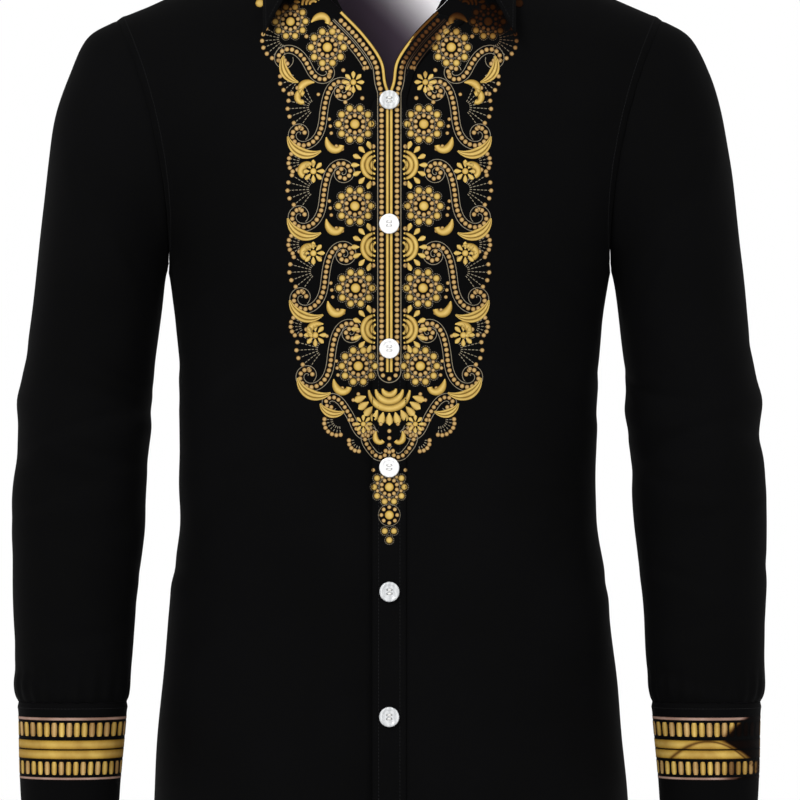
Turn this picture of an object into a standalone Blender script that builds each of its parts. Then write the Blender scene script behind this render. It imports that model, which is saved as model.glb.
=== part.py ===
"""A man's long-sleeve button shirt, filled out as it is when worn, with no wearer.

Metres, +Z up. The front faces -Y and the wearer's left is +X. The origin is in the middle of the
neck's base, between the shoulders that carry the shirt.

Each piece of cloth starts as an open sheet of points, its outside face. Sheets that are sewn
together share the points of their seam. The seam's points then take one common direction, each
sheet draws back from the seam by half a gap, and every sheet gets its wall on the inside.
"""

import math
from typing import NamedTuple

import bpy
import numpy as np
from mathutils import Vector
from mathutils.bvhtree import BVHTree

# Cloth
WALL = 0.0018
SEAM_GAP = 0.0003
RIM_DRAW = 0.00018
LAYER = WALL + SEAM_GAP
UNDERLAP_DROP = LAYER + 0.0011

# Levels of the body
ARMPIT_Z = -0.266
HEM_SIDE_Z = -0.720
HEM_CENTRE_Z = -0.770
SIDE_SEAM_Y = 0.004
TORSO_SQUARENESS = 0.90
HEM_CURVE = 2.5
YOKE_CURVE = 1.25
FLATTEST_ROW = 0.62
LEAST_DEPTH = 1e-9

# The front opening
LAP = 0.0132
LAP_COLUMNS = 2
UNDERLAP_START = 0.016
UNDERLAP_END = 0.036
LAP_END_STEP = 5
BAND_TOP_STEP = 7.85

# The neck's base: an oval about the origin
NECK_HALF_WIDTH = 0.072
NECK_FRONT_DEPTH = 0.0834
NECK_BACK_DEPTH = 0.062
NECK_SIDE_Z = -0.010
NECK_SLOPE = 0.26
NECK_DROP = 6.97
NECK_FRONT_END = math.radians(31.7)
STAND_END_STEP = 8
SHOULDER_STEP = 12
STAND_EXTENSION = 0.013

# Rows and columns of the sheets
LOWER_ROWS = 12
BODY_COLUMNS = 9
SLEEVE_RINGS = (0, 0.5, 1, 2, 3, 4, 5, 6, 7, 8, 8.5, 9, 9.5, 10, 10.5, 11, 12, 13, 14, 15, 16)
SLEEVE_SIDES = 2 * SHOULDER_STEP
SLEEVE_SQUARENESS = 0.95
ARMHOLE_BOW_FRONT = 0.012
ARMHOLE_BOW_BACK = 0.008
ARMHOLE_BOW_RINGS = 3.0
FOLD_CLEAR_OF_SEAM = 0.045
FOLD_CLEAR_RINGS_TOP = 2.0
FOLD_CLEAR_RINGS_END = 1.2
SEAM_SAMPLES = 192
SHARP_ANGLE = math.radians(50)

# Cuffs
CUFF_TOP_Z = -0.612
CUFF_END_Z = -0.696
CUFF_ROWS = 2
CUFF_COLUMNS = 30
CUFF_START = math.radians(212)
CUFF_OVERLAP = math.radians(24)
CUFF_RISE_ANGLE = math.radians(30)
CUFF_LIFT = LAYER + 0.0005

# Collar
STAND_ROWS = 2
FALL_ROWS = (0, 0.1, 0.22, 0.38, 0.58, 0.8, 1)
FALL_FREE_ROW = 3
FALL_CLEARANCE = 0.0022
FALL_ROLL_UP = 0.012
FALL_ROLL_OUT = 0.015
FALL_ROLL_START = 0.2
FALL_ROLL_SETTLE = 0.6

# Buttons
BUTTON_RADIUS = 0.0079
BUTTON_THICKNESS = 0.0026
BUTTON_RIM = 0.0018
BUTTON_DISH = 0.0007
BUTTON_SIDES = 14
FRONT_BUTTON_Z = (-0.1368, -0.2340, -0.3312, -0.4269, -0.5225, -0.6198)
SMALL_BUTTON_SCALE = 0.75
MERGE_DISTANCE = 0.00001


class EdgePoint(NamedTuple):
    """A point of a button's rounded edge, in shares of its rim's width and of its thickness."""

    inset: float
    height: float


BUTTON_EDGE = (
    EdgePoint(inset=0.6, height=1),
    EdgePoint(inset=0.2, height=0.8),
    EdgePoint(inset=0, height=0.45),
    EdgePoint(inset=0.4, height=0),
)


class TorsoLevel(NamedTuple):
    """A level of the body below the armpits: half widths at the seams, depths at the middle."""

    z: float
    right: float
    left: float
    front: float
    back: float


TORSO = (
    TorsoLevel(z=-0.770, right=0.1900, left=0.1940, front=0.1270, back=0.1200),
    TorsoLevel(z=-0.692, right=0.1878, left=0.1906, front=0.1225, back=0.1160),
    TorsoLevel(z=-0.612, right=0.1832, left=0.1828, front=0.1175, back=0.1090),
    TorsoLevel(z=-0.548, right=0.1764, left=0.1764, front=0.1130, back=0.1000),
    TorsoLevel(z=-0.484, right=0.1708, left=0.1706, front=0.1105, back=0.0920),
    TorsoLevel(z=-0.436, right=0.1694, left=0.1660, front=0.1100, back=0.0880),
    TorsoLevel(z=-0.388, right=0.1680, left=0.1658, front=0.1115, back=0.0890),
    TorsoLevel(z=-0.340, right=0.1686, left=0.1680, front=0.1150, back=0.0940),
    TorsoLevel(z=-0.300, right=0.1722, left=0.1716, front=0.1190, back=0.1005),
    TorsoLevel(z=-0.266, right=0.1767, left=0.1767, front=0.1215, back=0.1060),
)


class EdgeStep(NamedTuple):
    """A step up the middle of a panel above the armpits: how far out, how deep and how high."""

    step: float
    out: float
    depth: float
    z: float


# The front's edge runs up its lap, and from step 5 along the open neck to the stand's end.
FRONT_EDGE = (
    EdgeStep(step=0, out=-LAP, depth=0.1215, z=-0.2660),
    EdgeStep(step=1, out=-LAP, depth=0.1222, z=-0.2350),
    EdgeStep(step=2, out=-LAP, depth=0.1210, z=-0.2030),
    EdgeStep(step=3, out=-LAP, depth=0.1165, z=-0.1710),
    EdgeStep(step=4, out=-LAP, depth=0.1090, z=-0.1405),
    EdgeStep(step=5, out=0.0008, depth=0.1040, z=-0.1266),
    EdgeStep(step=6, out=0.0050, depth=0.0935, z=-0.1050),
    EdgeStep(step=7, out=0.0190, depth=0.0808, z=-0.0838),
    EdgeStep(step=8, out=0.0378, depth=0.0670, z=-0.0636),
)
BACK_EDGE = (
    EdgeStep(step=0, out=0, depth=0.1060, z=-0.2660),
    EdgeStep(step=1, out=0, depth=0.1100, z=-0.2280),
    EdgeStep(step=2, out=0, depth=0.1130, z=-0.1900),
    EdgeStep(step=3, out=0, depth=0.1140, z=-0.1520),
    EdgeStep(step=4, out=0, depth=0.1125, z=-0.1150),
    EdgeStep(step=5, out=0, depth=0.1080, z=-0.0800),
    EdgeStep(step=6, out=0, depth=0.0990, z=-0.0460),
    EdgeStep(step=7, out=0, depth=0.0850, z=-0.0160),
    EdgeStep(step=8, out=0, depth=0.0660, z=0.0061),
)


class SleeveRing(NamedTuple):
    """A ring of the sleeve: its outer and inner points, its half depth and how far back it is."""

    outer_x: float
    outer_z: float
    inner_x: float
    inner_z: float
    depth: float
    y: float


# From the armhole, ring 0, to the cuff's seam, ring 16.
SLEEVE = (
    SleeveRing(outer_x=0.2180, outer_z=-0.0680, inner_x=0.1767, inner_z=-0.2660, depth=0.0640, y=0.004),
    SleeveRing(outer_x=0.2412, outer_z=-0.0822, inner_x=0.1776, inner_z=-0.2690, depth=0.0665, y=0.004),
    SleeveRing(outer_x=0.2560, outer_z=-0.1110, inner_x=0.1787, inner_z=-0.2735, depth=0.0690, y=0.004),
    SleeveRing(outer_x=0.2664, outer_z=-0.1420, inner_x=0.1799, inner_z=-0.2805, depth=0.0712, y=0.004),
    SleeveRing(outer_x=0.2722, outer_z=-0.1790, inner_x=0.1812, inner_z=-0.2905, depth=0.0722, y=0.004),
    SleeveRing(outer_x=0.2777, outer_z=-0.2220, inner_x=0.1830, inner_z=-0.3045, depth=0.0718, y=0.005),
    SleeveRing(outer_x=0.2820, outer_z=-0.2640, inner_x=0.1854, inner_z=-0.3225, depth=0.0700, y=0.006),
    SleeveRing(outer_x=0.2868, outer_z=-0.3050, inner_x=0.1880, inner_z=-0.3440, depth=0.0670, y=0.008),
    SleeveRing(outer_x=0.2918, outer_z=-0.3430, inner_x=0.1894, inner_z=-0.3680, depth=0.0636, y=0.009),
    SleeveRing(outer_x=0.2968, outer_z=-0.3800, inner_x=0.1902, inner_z=-0.3920, depth=0.0605, y=0.008),
    SleeveRing(outer_x=0.2994, outer_z=-0.4200, inner_x=0.1930, inner_z=-0.4230, depth=0.0575, y=0.004),
    SleeveRing(outer_x=0.3018, outer_z=-0.4600, inner_x=0.1948, inner_z=-0.4600, depth=0.0545, y=-0.001),
    SleeveRing(outer_x=0.3012, outer_z=-0.5000, inner_x=0.1984, inner_z=-0.5000, depth=0.0515, y=-0.007),
    SleeveRing(outer_x=0.3004, outer_z=-0.5400, inner_x=0.2020, inner_z=-0.5400, depth=0.0490, y=-0.013),
    SleeveRing(outer_x=0.2990, outer_z=-0.5750, inner_x=0.2046, inner_z=-0.5750, depth=0.0470, y=-0.018),
    SleeveRing(outer_x=0.2984, outer_z=-0.6010, inner_x=0.2070, inner_z=-0.6010, depth=0.0448, y=-0.021),
    SleeveRing(outer_x=0.2962, outer_z=-0.6120, inner_x=0.2088, inner_z=-0.6120, depth=0.0420, y=-0.022),
)
CUFF_END = SleeveRing(
    outer_x=0.2932, outer_z=CUFF_END_Z, inner_x=0.2154, inner_z=CUFF_END_Z, depth=0.0375, y=-0.026
)


class Fold(NamedTuple):
    """A soft ridge, or a trough if its rise is below 0. Angles are in degrees.

    On the body an angle of 0 is the middle of the front and 90 is the wearer's left. On a sleeve
    0 is the inner seam, 90 the front, 180 the outer side and 270 the back. The lean is how far
    the fold climbs in 90 degrees.
    """

    angle: float
    z: float
    half_angle: float
    half_height: float
    lean: float
    rise: float


BODY_FOLDS = (
    Fold(angle=-62, z=-0.315, half_angle=20, half_height=0.026, lean=0.110, rise=-0.0034),
    Fold(angle=60, z=-0.322, half_angle=22, half_height=0.026, lean=-0.120, rise=-0.0036),
    Fold(angle=-58, z=-0.395, half_angle=26, half_height=0.024, lean=0.070, rise=-0.0030),
    Fold(angle=66, z=-0.412, half_angle=24, half_height=0.024, lean=-0.075, rise=-0.0032),
    Fold(angle=-84, z=-0.470, half_angle=30, half_height=0.026, lean=-0.030, rise=-0.0028),
    Fold(angle=88, z=-0.478, half_angle=28, half_height=0.028, lean=0.040, rise=-0.0030),
    Fold(angle=-38, z=-0.720, half_angle=13, half_height=0.150, lean=0, rise=0.0045),
    Fold(angle=44, z=-0.730, half_angle=14, half_height=0.160, lean=0, rise=0.0050),
    Fold(angle=-128, z=-0.700, half_angle=15, half_height=0.170, lean=0, rise=0.0060),
    Fold(angle=122, z=-0.710, half_angle=15, half_height=0.160, lean=0, rise=0.0055),
    Fold(angle=168, z=-0.640, half_angle=12, half_height=0.170, lean=0, rise=0.0050),
    Fold(angle=-166, z=-0.400, half_angle=34, half_height=0.026, lean=0.030, rise=-0.0034),
    Fold(angle=150, z=-0.450, half_angle=32, half_height=0.026, lean=-0.040, rise=-0.0036),
)
RIGHT_SLEEVE_FOLDS = (
    Fold(angle=40, z=-0.372, half_angle=58, half_height=0.012, lean=0.020, rise=-0.0040),
    Fold(angle=70, z=-0.402, half_angle=70, half_height=0.012, lean=-0.016, rise=0.0030),
    Fold(angle=110, z=-0.432, half_angle=66, half_height=0.013, lean=0.018, rise=-0.0034),
    Fold(angle=185, z=-0.372, half_angle=46, half_height=0.013, lean=0.010, rise=0.0026),
    Fold(angle=60, z=-0.470, half_angle=60, half_height=0.015, lean=-0.020, rise=-0.0026),
    Fold(angle=95, z=-0.300, half_angle=40, half_height=0.030, lean=0.060, rise=-0.0028),
    Fold(angle=250, z=-0.420, half_angle=40, half_height=0.030, lean=0.030, rise=0.0030),
)
LEFT_SLEEVE_FOLDS = (
    Fold(angle=30, z=-0.384, half_angle=60, half_height=0.012, lean=-0.016, rise=0.0028),
    Fold(angle=60, z=-0.412, half_angle=64, half_height=0.012, lean=0.022, rise=-0.0040),
    Fold(angle=178, z=-0.372, half_angle=52, half_height=0.013, lean=0.012, rise=0.0030),
    Fold(angle=150, z=-0.396, half_angle=50, half_height=0.012, lean=-0.018, rise=-0.0030),
    Fold(angle=80, z=-0.476, half_angle=62, half_height=0.015, lean=0.016, rise=-0.0028),
    Fold(angle=100, z=-0.296, half_angle=38, half_height=0.030, lean=0.050, rise=-0.0030),
    Fold(angle=262, z=-0.430, half_angle=42, half_height=0.028, lean=-0.030, rise=0.0030),
)


class StandStation(NamedTuple):
    """How far the stand's top lies from its foot, by the angle round the neck from the front."""

    angle: float
    outward: float
    back: float
    up: float


STAND_RISE = (
    StandStation(angle=31.7, outward=0.0100, back=0.0100, up=0.0240),
    StandStation(angle=50, outward=0.0030, back=0.0060, up=0.0285),
    StandStation(angle=90, outward=-0.0075, back=0.0020, up=0.0330),
    StandStation(angle=135, outward=-0.0060, back=-0.0050, up=0.0345),
    StandStation(angle=180, outward=0.0, back=-0.0080, up=0.0350),
)


class FallStation(NamedTuple):
    """The free edge of the collar's fall, by the angle round the neck from the front."""

    angle: float
    x: float
    y: float
    z: float


FALL_EDGE = (
    FallStation(angle=40, x=0.0998, y=-0.0830, z=-0.0837),
    FallStation(angle=56, x=0.1003, y=-0.0600, z=-0.0560),
    FallStation(angle=72, x=0.1010, y=-0.0300, z=-0.0300),
    FallStation(angle=90, x=0.0985, y=0.0040, z=-0.0130),
    FallStation(angle=118, x=0.0850, y=0.0440, z=-0.0080),
    FallStation(angle=150, x=0.0480, y=0.0790, z=-0.0120),
    FallStation(angle=180, x=0.0, y=0.0880, z=-0.0170),
)


def smooth_read(stations, values, at):
    """A smooth cubic curve through values given at rising stations, read at the places in at."""
    stations = np.asarray(stations, dtype=float)
    values = np.asarray(values, dtype=float)
    at = np.asarray(at, dtype=float)
    slopes = np.gradient(values, stations)
    span = np.clip(np.searchsorted(stations, at, side="right") - 1, 0, len(stations) - 2)
    width = stations[span + 1] - stations[span]
    t = np.clip((at - stations[span]) / width, 0, 1)
    keep_start = (1 + 2 * t) * (1 - t) ** 2
    keep_end = t * t * (3 - 2 * t)
    lean_start = t * (1 - t) ** 2 * width
    lean_end = t * t * (t - 1) * width
    return (
        values[span] * keep_start
        + values[span + 1] * keep_end
        + slopes[span] * lean_start
        + slopes[span + 1] * lean_end
    )


def ease(t):
    """0 below 0, 1 above 1, and a soft step between."""
    t = np.clip(t, 0, 1)
    return t * t * (3 - 2 * t)


def column(table, name):
    """One named column of a table."""
    return np.array([getattr(row, name) for row in table], dtype=float)


def squared(value, squareness):
    """A sine or cosine raised to the outline's squareness, with its sign kept."""
    return np.sign(value) * np.abs(value) ** squareness


def neckline(angle):
    """A point of the neck's base on +X, by the angle from the middle front: 180 is the back."""
    across = NECK_HALF_WIDTH * np.sin(angle)
    depth = np.where(np.cos(angle) > 0, NECK_FRONT_DEPTH, NECK_BACK_DEPTH)
    back = -depth * np.cos(angle)
    drop = np.where(back < 0, NECK_DROP * back**2, 0)
    height = NECK_SIDE_Z + NECK_SLOPE * back - drop
    return np.stack([across, SIDE_SEAM_Y + back, height], axis=-1)


def sleeve_points(ring, angle):
    """Points of the left sleeve's outside: a squared oval in each ring's tilted plane."""
    ring, angle = np.broadcast_arrays(np.asarray(ring, float), np.asarray(angle, float))
    rings = np.arange(len(SLEEVE))
    outer_x, outer_z, inner_x, inner_z, depth, y = (
        smooth_read(rings, column(SLEEVE, name), ring) for name in SleeveRing._fields
    )
    return oval(outer_x, outer_z, inner_x, inner_z, depth, y, angle, ring)


def oval(outer_x, outer_z, inner_x, inner_z, depth, y, angle, ring):
    """A ring's points, with the armhole bowed towards the neck while the ring is near it."""
    outward = squared(-np.cos(angle), SLEEVE_SQUARENESS)
    forward = squared(np.sin(angle), SLEEVE_SQUARENESS)
    bow = np.where(forward > 0, ARMHOLE_BOW_FRONT, ARMHOLE_BOW_BACK) * np.abs(forward) ** 2
    near = 1 - ease(ring / ARMHOLE_BOW_RINGS)
    x = (outer_x + inner_x) / 2 + (outer_x - inner_x) / 2 * outward - bow * near
    z = (outer_z + inner_z) / 2 + (outer_z - inner_z) / 2 * outward
    return np.stack([x, y - depth * forward, z], axis=-1)


def neck_steps(count):
    """Angles of the neckline's points from the stand's end to the shoulder seam."""
    radius = math.hypot(NECK_HALF_WIDTH, NECK_FRONT_DEPTH) / math.sqrt(2)
    first = NECK_FRONT_END + STAND_EXTENSION / radius
    return np.concatenate([[NECK_FRONT_END], np.linspace(first, math.pi / 2, count)])


def front_edge(step, side):
    """Points of the front's inner edge, from the hem's step to the shoulder seam."""
    step = np.asarray(step, dtype=float)
    low = np.clip(step, -LOWER_ROWS, 0) / LOWER_ROWS
    z = ARMPIT_Z + (ARMPIT_Z - HEM_CENTRE_Z) * low
    depth = smooth_read(column(TORSO, "z"), column(TORSO, "front"), z)
    edge = np.stack([np.full_like(z, -LAP), -depth, z], axis=-1)
    steps = column(FRONT_EDGE, "step")
    middle = (step > 0) & (step <= STAND_END_STEP)
    for axis, (name, sign) in enumerate((("out", 1), ("depth", -1), ("z", 1))):
        read = sign * smooth_read(steps, column(FRONT_EDGE, name), step)
        edge[:, axis] = np.where(middle, read, edge[:, axis])
    neck = step > STAND_END_STEP
    count = SHOULDER_STEP - STAND_END_STEP
    angles = np.interp(step, STAND_END_STEP + np.arange(count + 1), neck_steps(count))
    edge[neck] = neckline(angles[neck])
    return edge * (side, 1, 1)


def back_edge(step, side):
    """Points of the back's middle line, and of the neckline above it."""
    step = np.asarray(step, dtype=float)
    low = np.clip(step, -LOWER_ROWS, 0) / LOWER_ROWS
    z = ARMPIT_Z + (ARMPIT_Z - HEM_CENTRE_Z) * low
    depth = smooth_read(column(TORSO, "z"), column(TORSO, "back"), z)
    edge = np.stack([np.zeros_like(z), depth, z], axis=-1)
    steps = column(BACK_EDGE, "step")
    middle = (step > 0) & (step <= STAND_END_STEP)
    for axis, name in ((1, "depth"), (2, "z")):
        read = smooth_read(steps, column(BACK_EDGE, name), step)
        edge[:, axis] = np.where(middle, read, edge[:, axis])
    neck = step > STAND_END_STEP
    turn = (step - STAND_END_STEP) / (SHOULDER_STEP - STAND_END_STEP)
    edge[neck] = neckline(math.pi * (1 - turn[neck] / 2))
    return edge * (side, 1, 1)


def side_edge(step, side, facing):
    """Points of a panel's outer edge: the side seam, then the armhole. facing is 1 in front."""
    step = np.asarray(step, dtype=float)
    low = np.clip(step, -LOWER_ROWS, 0) / LOWER_ROWS
    z = ARMPIT_Z + (ARMPIT_Z - HEM_SIDE_Z) * low
    widths = column(TORSO, "left" if side > 0 else "right")
    width = smooth_read(column(TORSO, "z"), widths, z)
    edge = np.stack([width, np.full_like(z, SIDE_SEAM_Y), z], axis=-1)
    upper = step > 0
    turn = math.pi * np.clip(step, 0, SHOULDER_STEP) / SHOULDER_STEP
    edge[upper] = sleeve_points(np.zeros_like(turn), facing * turn)[upper]
    return edge * (side, 1, 1)


def panel_points(step, place, side, facing):
    """Points of half a body panel, for rows at each step and columns at each place.

    A row is part of a squared oval about the body's middle, from the panel's inner edge to its
    outer edge. It is cut off where the armhole stands forward of the side seam. Columns up to
    LAP_COLUMNS are one lap apart, and the rest share the row's remaining angle evenly.
    """
    step = np.asarray(step, dtype=float)[:, None]
    place = np.asarray(place, dtype=float)[None, :]
    inner = (front_edge if facing > 0 else back_edge)(step[:, 0], 1)[:, None, :]
    outer = side_edge(step[:, 0], side, facing)[:, None, :] * (side, 1, 1)
    share = (outer[..., 1] - SIDE_SEAM_Y) / (inner[..., 1] - SIDE_SEAM_Y - facing * LEAST_DEPTH)
    cut_cos = np.clip(share, 0, FLATTEST_ROW)
    last = np.arccos(cut_cos ** (1 / TORSO_SQUARENESS))
    width = outer[..., 0] / np.sin(last) ** TORSO_SQUARENESS

    def turn_at(x):
        """The oval's angle where the row is at x."""
        return np.arcsin(squared(x / width, 1 / TORSO_SQUARENESS))

    def deep_at(turn):
        """The share of the row's depth at an angle: 1 in the middle, 0 at the outer edge."""
        return (np.cos(turn) ** TORSO_SQUARENESS - cut_cos) / (1 - cut_cos)

    lap_turn = turn_at(inner[..., 0] + np.minimum(place, LAP_COLUMNS) * LAP)
    beyond = np.maximum(place - LAP_COLUMNS, 0) / (BODY_COLUMNS - LAP_COLUMNS)
    turn = lap_turn + (last - lap_turn) * beyond
    x = width * squared(np.sin(turn), TORSO_SQUARENESS)
    middle_y = (inner[..., 1] - outer[..., 1]) / deep_at(turn_at(inner[..., 0]))
    y = outer[..., 1] + middle_y * deep_at(turn)
    curve = np.where(step > 0, YOKE_CURVE, HEM_CURVE)
    climb = np.abs(x / outer[..., 0]) ** curve
    inner_climb = np.abs(inner[..., 0] / outer[..., 0]) ** curve
    middle_z = (inner[..., 2] - outer[..., 2] * inner_climb) / (1 - inner_climb)
    z = middle_z + (outer[..., 2] - middle_z) * climb
    return np.stack([x * side, y, z], axis=-1)


def fold_rise(angle, z, folds):
    """How far the folds push the cloth out, at angles in degrees and heights in metres."""
    rise = np.zeros_like(z)
    for fold in folds:
        turn = (angle - fold.angle + 180) % 360 - 180
        off = z - fold.z - fold.lean * turn / 90
        rise += fold.rise * np.exp(-((turn / fold.half_angle) ** 2) - (off / fold.half_height) ** 2)
    return rise


class Sheet:
    """A piece of cloth as an open surface: points of its outside face, and its quads."""

    def __init__(self, name, points, faces):
        self.name = name
        self.points = np.asarray(points, dtype=float)
        self.faces = np.asarray(faces, dtype=int)
        self.normals = self.own_normals()

    def own_normals(self):
        """The direction out of the cloth at each point, weighted by the area round it."""
        corners = self.points[self.faces]
        cross = np.cross(corners[:, 2] - corners[:, 0], corners[:, 3] - corners[:, 1])
        total = np.zeros_like(self.points)
        for corner in range(4):
            np.add.at(total, self.faces[:, corner], cross)
        return total / np.linalg.norm(total, axis=1, keepdims=True)

    def rim(self):
        """The edges that belong to one quad, in that quad's order."""
        edges = np.concatenate([self.faces[:, [i, (i + 1) % 4]] for i in range(4)])
        keys = np.sort(edges, axis=1)
        _, back, count = np.unique(keys, axis=0, return_inverse=True, return_counts=True)
        return edges[count[back.ravel()] == 1]

    def drawn_back(self):
        """The points, with those of the rim moved away from the seam by half of its gap.

        The move is square to the seam's own direction, so that two rims stay apart and parallel
        even where their sheets hang close together, as under the arm.
        """
        inward = np.zeros_like(self.points)
        corners = self.points[self.faces]
        cross = np.cross(corners[:, 2] - corners[:, 0], corners[:, 3] - corners[:, 1])
        owner = {}
        for face, quad in enumerate(self.faces):
            for i in range(4):
                owner[(quad[i], quad[(i + 1) % 4])] = face
        for a, b in self.rim():
            normal = cross[owner[(a, b)]]
            along = self.points[b] - self.points[a]
            push = np.cross(normal, along)
            push /= np.linalg.norm(push)
            inward[a] += push
            inward[b] += push
        inward -= self.normals * (inward * self.normals).sum(axis=1, keepdims=True)
        length = np.linalg.norm(inward, axis=1, keepdims=True)
        step = np.divide(inward, length, out=np.zeros_like(inward), where=length > 0)
        return self.points + step * RIM_DRAW

    def moved_out(self, name, distance):
        """A second sheet that lies over this one."""
        return Sheet(name, self.points + self.normals * distance, self.faces)

    def tree(self):
        """The surface as a search tree, for laying other pieces on it."""
        return BVHTree.FromPolygons(self.points.tolist(), self.faces.tolist())


def grid_sheet(name, grid, flip=False, closed=False):
    """A sheet from a grid of rows and columns. A closed grid joins its last column to its first."""
    rows, columns = grid.shape[:2]
    numbers = np.arange(rows * columns).reshape(rows, columns)
    if closed:
        numbers = np.concatenate([numbers, numbers[:, :1]], axis=1)
    a = numbers[:-1, :-1].ravel()
    b = numbers[:-1, 1:].ravel()
    c = numbers[1:, 1:].ravel()
    d = numbers[1:, :-1].ravel()
    faces = np.stack([a, d, c, b] if flip else [a, b, c, d], axis=1)
    return Sheet(name, grid.reshape(-1, 3), faces)


def joined(name, first, second):
    """Two sheets made one where their points meet."""
    points = np.concatenate([first.points, second.points])
    faces = np.concatenate([first.faces, second.faces + len(first.points)])
    keys = np.round(points, 6)
    _, index, back = np.unique(keys, axis=0, return_index=True, return_inverse=True)
    return Sheet(name, points[index], back.ravel()[faces])


def place_keys(points):
    """A key for each point that is the same wherever two sheets meet."""
    return [tuple(place) for place in np.round(points, 5) + 0.0]


def sew(*groups):
    """Gives points that sheets share one direction, so that their walls meet face to face.

    Sheets of a group, such as the body, first agree on theirs. Each group then counts alike.
    """
    total = {}
    for group in groups:
        own = {}
        for sheet in group:
            for key, normal in zip(place_keys(sheet.points), sheet.normals):
                own[key] = own.get(key, 0) + normal
        for key, normal in own.items():
            total[key] = total.get(key, 0) + normal / np.linalg.norm(normal)
    for group in groups:
        for sheet in group:
            shared = np.array([total[key] for key in place_keys(sheet.points)])
            sheet.normals = shared / np.linalg.norm(shared, axis=1, keepdims=True)


def distance_to(points, line):
    """Each point's distance to the nearest point of a line."""
    return np.sqrt(((points[:, None, :] - line[None, :, :]) ** 2).sum(axis=2)).min(axis=1)


def fold_body(sheet, seams):
    """Pushes the body's folds into a sheet, which stays as it is along the sleeve and neck seams."""
    angle = np.degrees(np.arctan2(sheet.points[:, 0], -sheet.points[:, 1]))
    rise = fold_rise(angle, sheet.points[:, 2], BODY_FOLDS)
    rise *= ease(distance_to(sheet.points, seams) / FOLD_CLEAR_OF_SEAM)
    sheet.points = sheet.points + sheet.normals * rise[:, None]


def fold_sleeve(sheet, angles, rings, folds):
    """Pushes a sleeve's folds into it, which stays as it is at the armhole and the cuff."""
    rise = fold_rise(np.degrees(angles), sheet.points[:, 2], folds)
    rise *= ease(rings / FOLD_CLEAR_RINGS_TOP) * ease((len(SLEEVE) - 1 - rings) / FOLD_CLEAR_RINGS_END)
    sheet.points = sheet.points + sheet.normals * rise[:, None]


def front_sheet(name, side):
    """One front, from its lap to the side seam and from the hem to the shoulder."""
    steps = np.arange(-LOWER_ROWS, SHOULDER_STEP + 1)
    places = np.arange(BODY_COLUMNS + 1)
    grid = panel_points(steps, places, side, facing=1)
    return grid_sheet(name, grid, flip=side < 0)


def back_sheet():
    """The back: both halves, joined up the middle to the neck."""
    steps = np.arange(-LOWER_ROWS, SHOULDER_STEP + 1)
    places = np.arange(BODY_COLUMNS + 1)
    halves = [
        grid_sheet("half", panel_points(steps, places, side, facing=-1), flip=side > 0)
        for side in (1, -1)
    ]
    return joined("back", *halves)


def sleeve_sheet(name, side, folds):
    """A sleeve, from its armhole to the cuff's seam, with its folds."""
    rings = np.array(SLEEVE_RINGS, dtype=float)[:, None]
    angles = 2 * math.pi * np.arange(SLEEVE_SIDES)[None, :] / SLEEVE_SIDES
    grid = sleeve_points(rings, angles) * (side, 1, 1)
    sheet = grid_sheet(name, grid, flip=side > 0, closed=True)
    ring_of = np.broadcast_to(rings, grid.shape[:2]).ravel()
    angle_of = np.broadcast_to(angles, grid.shape[:2]).ravel()
    fold_sleeve(sheet, angle_of, ring_of, folds)
    return sheet


def cuff_sheet(name, side):
    """A cuff, wound a little over one turn so that its end lies on its start at the rear."""
    turn = np.linspace(0, 2 * math.pi + CUFF_OVERLAP, CUFF_COLUMNS + 1)
    down = np.linspace(0, 1, CUFF_ROWS + 1)[:, None]
    top = SLEEVE[-1]
    sizes = [getattr(top, f) + (getattr(CUFF_END, f) - getattr(top, f)) * down for f in SleeveRing._fields]
    lift = CUFF_LIFT * ease((turn - 2 * math.pi + CUFF_RISE_ANGLE) / CUFF_RISE_ANGLE)
    sizes[0] = sizes[0] + lift
    sizes[2] = sizes[2] - lift
    sizes[4] = sizes[4] + lift
    grid = oval(*np.broadcast_arrays(*sizes), CUFF_START + turn[None, :], ring=np.array(ARMHOLE_BOW_RINGS))
    return grid_sheet(name, grid * (side, 1, 1), flip=side > 0)


def neck_points():
    """The neckline from the right stand's end round the back to the left one, with its angles."""
    count = SHOULDER_STEP - STAND_END_STEP
    front = neck_steps(count)
    back = math.pi * (1 - np.arange(count)[::-1] / (2 * count))
    half = np.concatenate([front, back])
    left = neckline(half)
    right = left * (-1, 1, 1)
    points = np.concatenate([right, left[-2::-1]])
    angles = np.concatenate([half, half[-2::-1]])
    side = np.concatenate([-np.ones(len(half)), np.ones(len(half) - 1)])
    return points, angles, side


def stand_sheet():
    """The collar's stand, a band on the neckline, and where round the neck the fall hangs from it."""
    foot, angles, side = neck_points()
    places = column(STAND_RISE, "angle")
    degrees = np.degrees(angles)
    out, back, up = (smooth_read(places, column(STAND_RISE, f), degrees) for f in ("outward", "back", "up"))
    rise = np.stack([side * out, back, up], axis=-1)
    share = np.linspace(0, 1, STAND_ROWS + 1)[:, None, None]
    grid = foot[None] + rise[None] * share
    return grid_sheet("collar_stand", grid, flip=True), angles[1:-1], side[1:-1]


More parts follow.
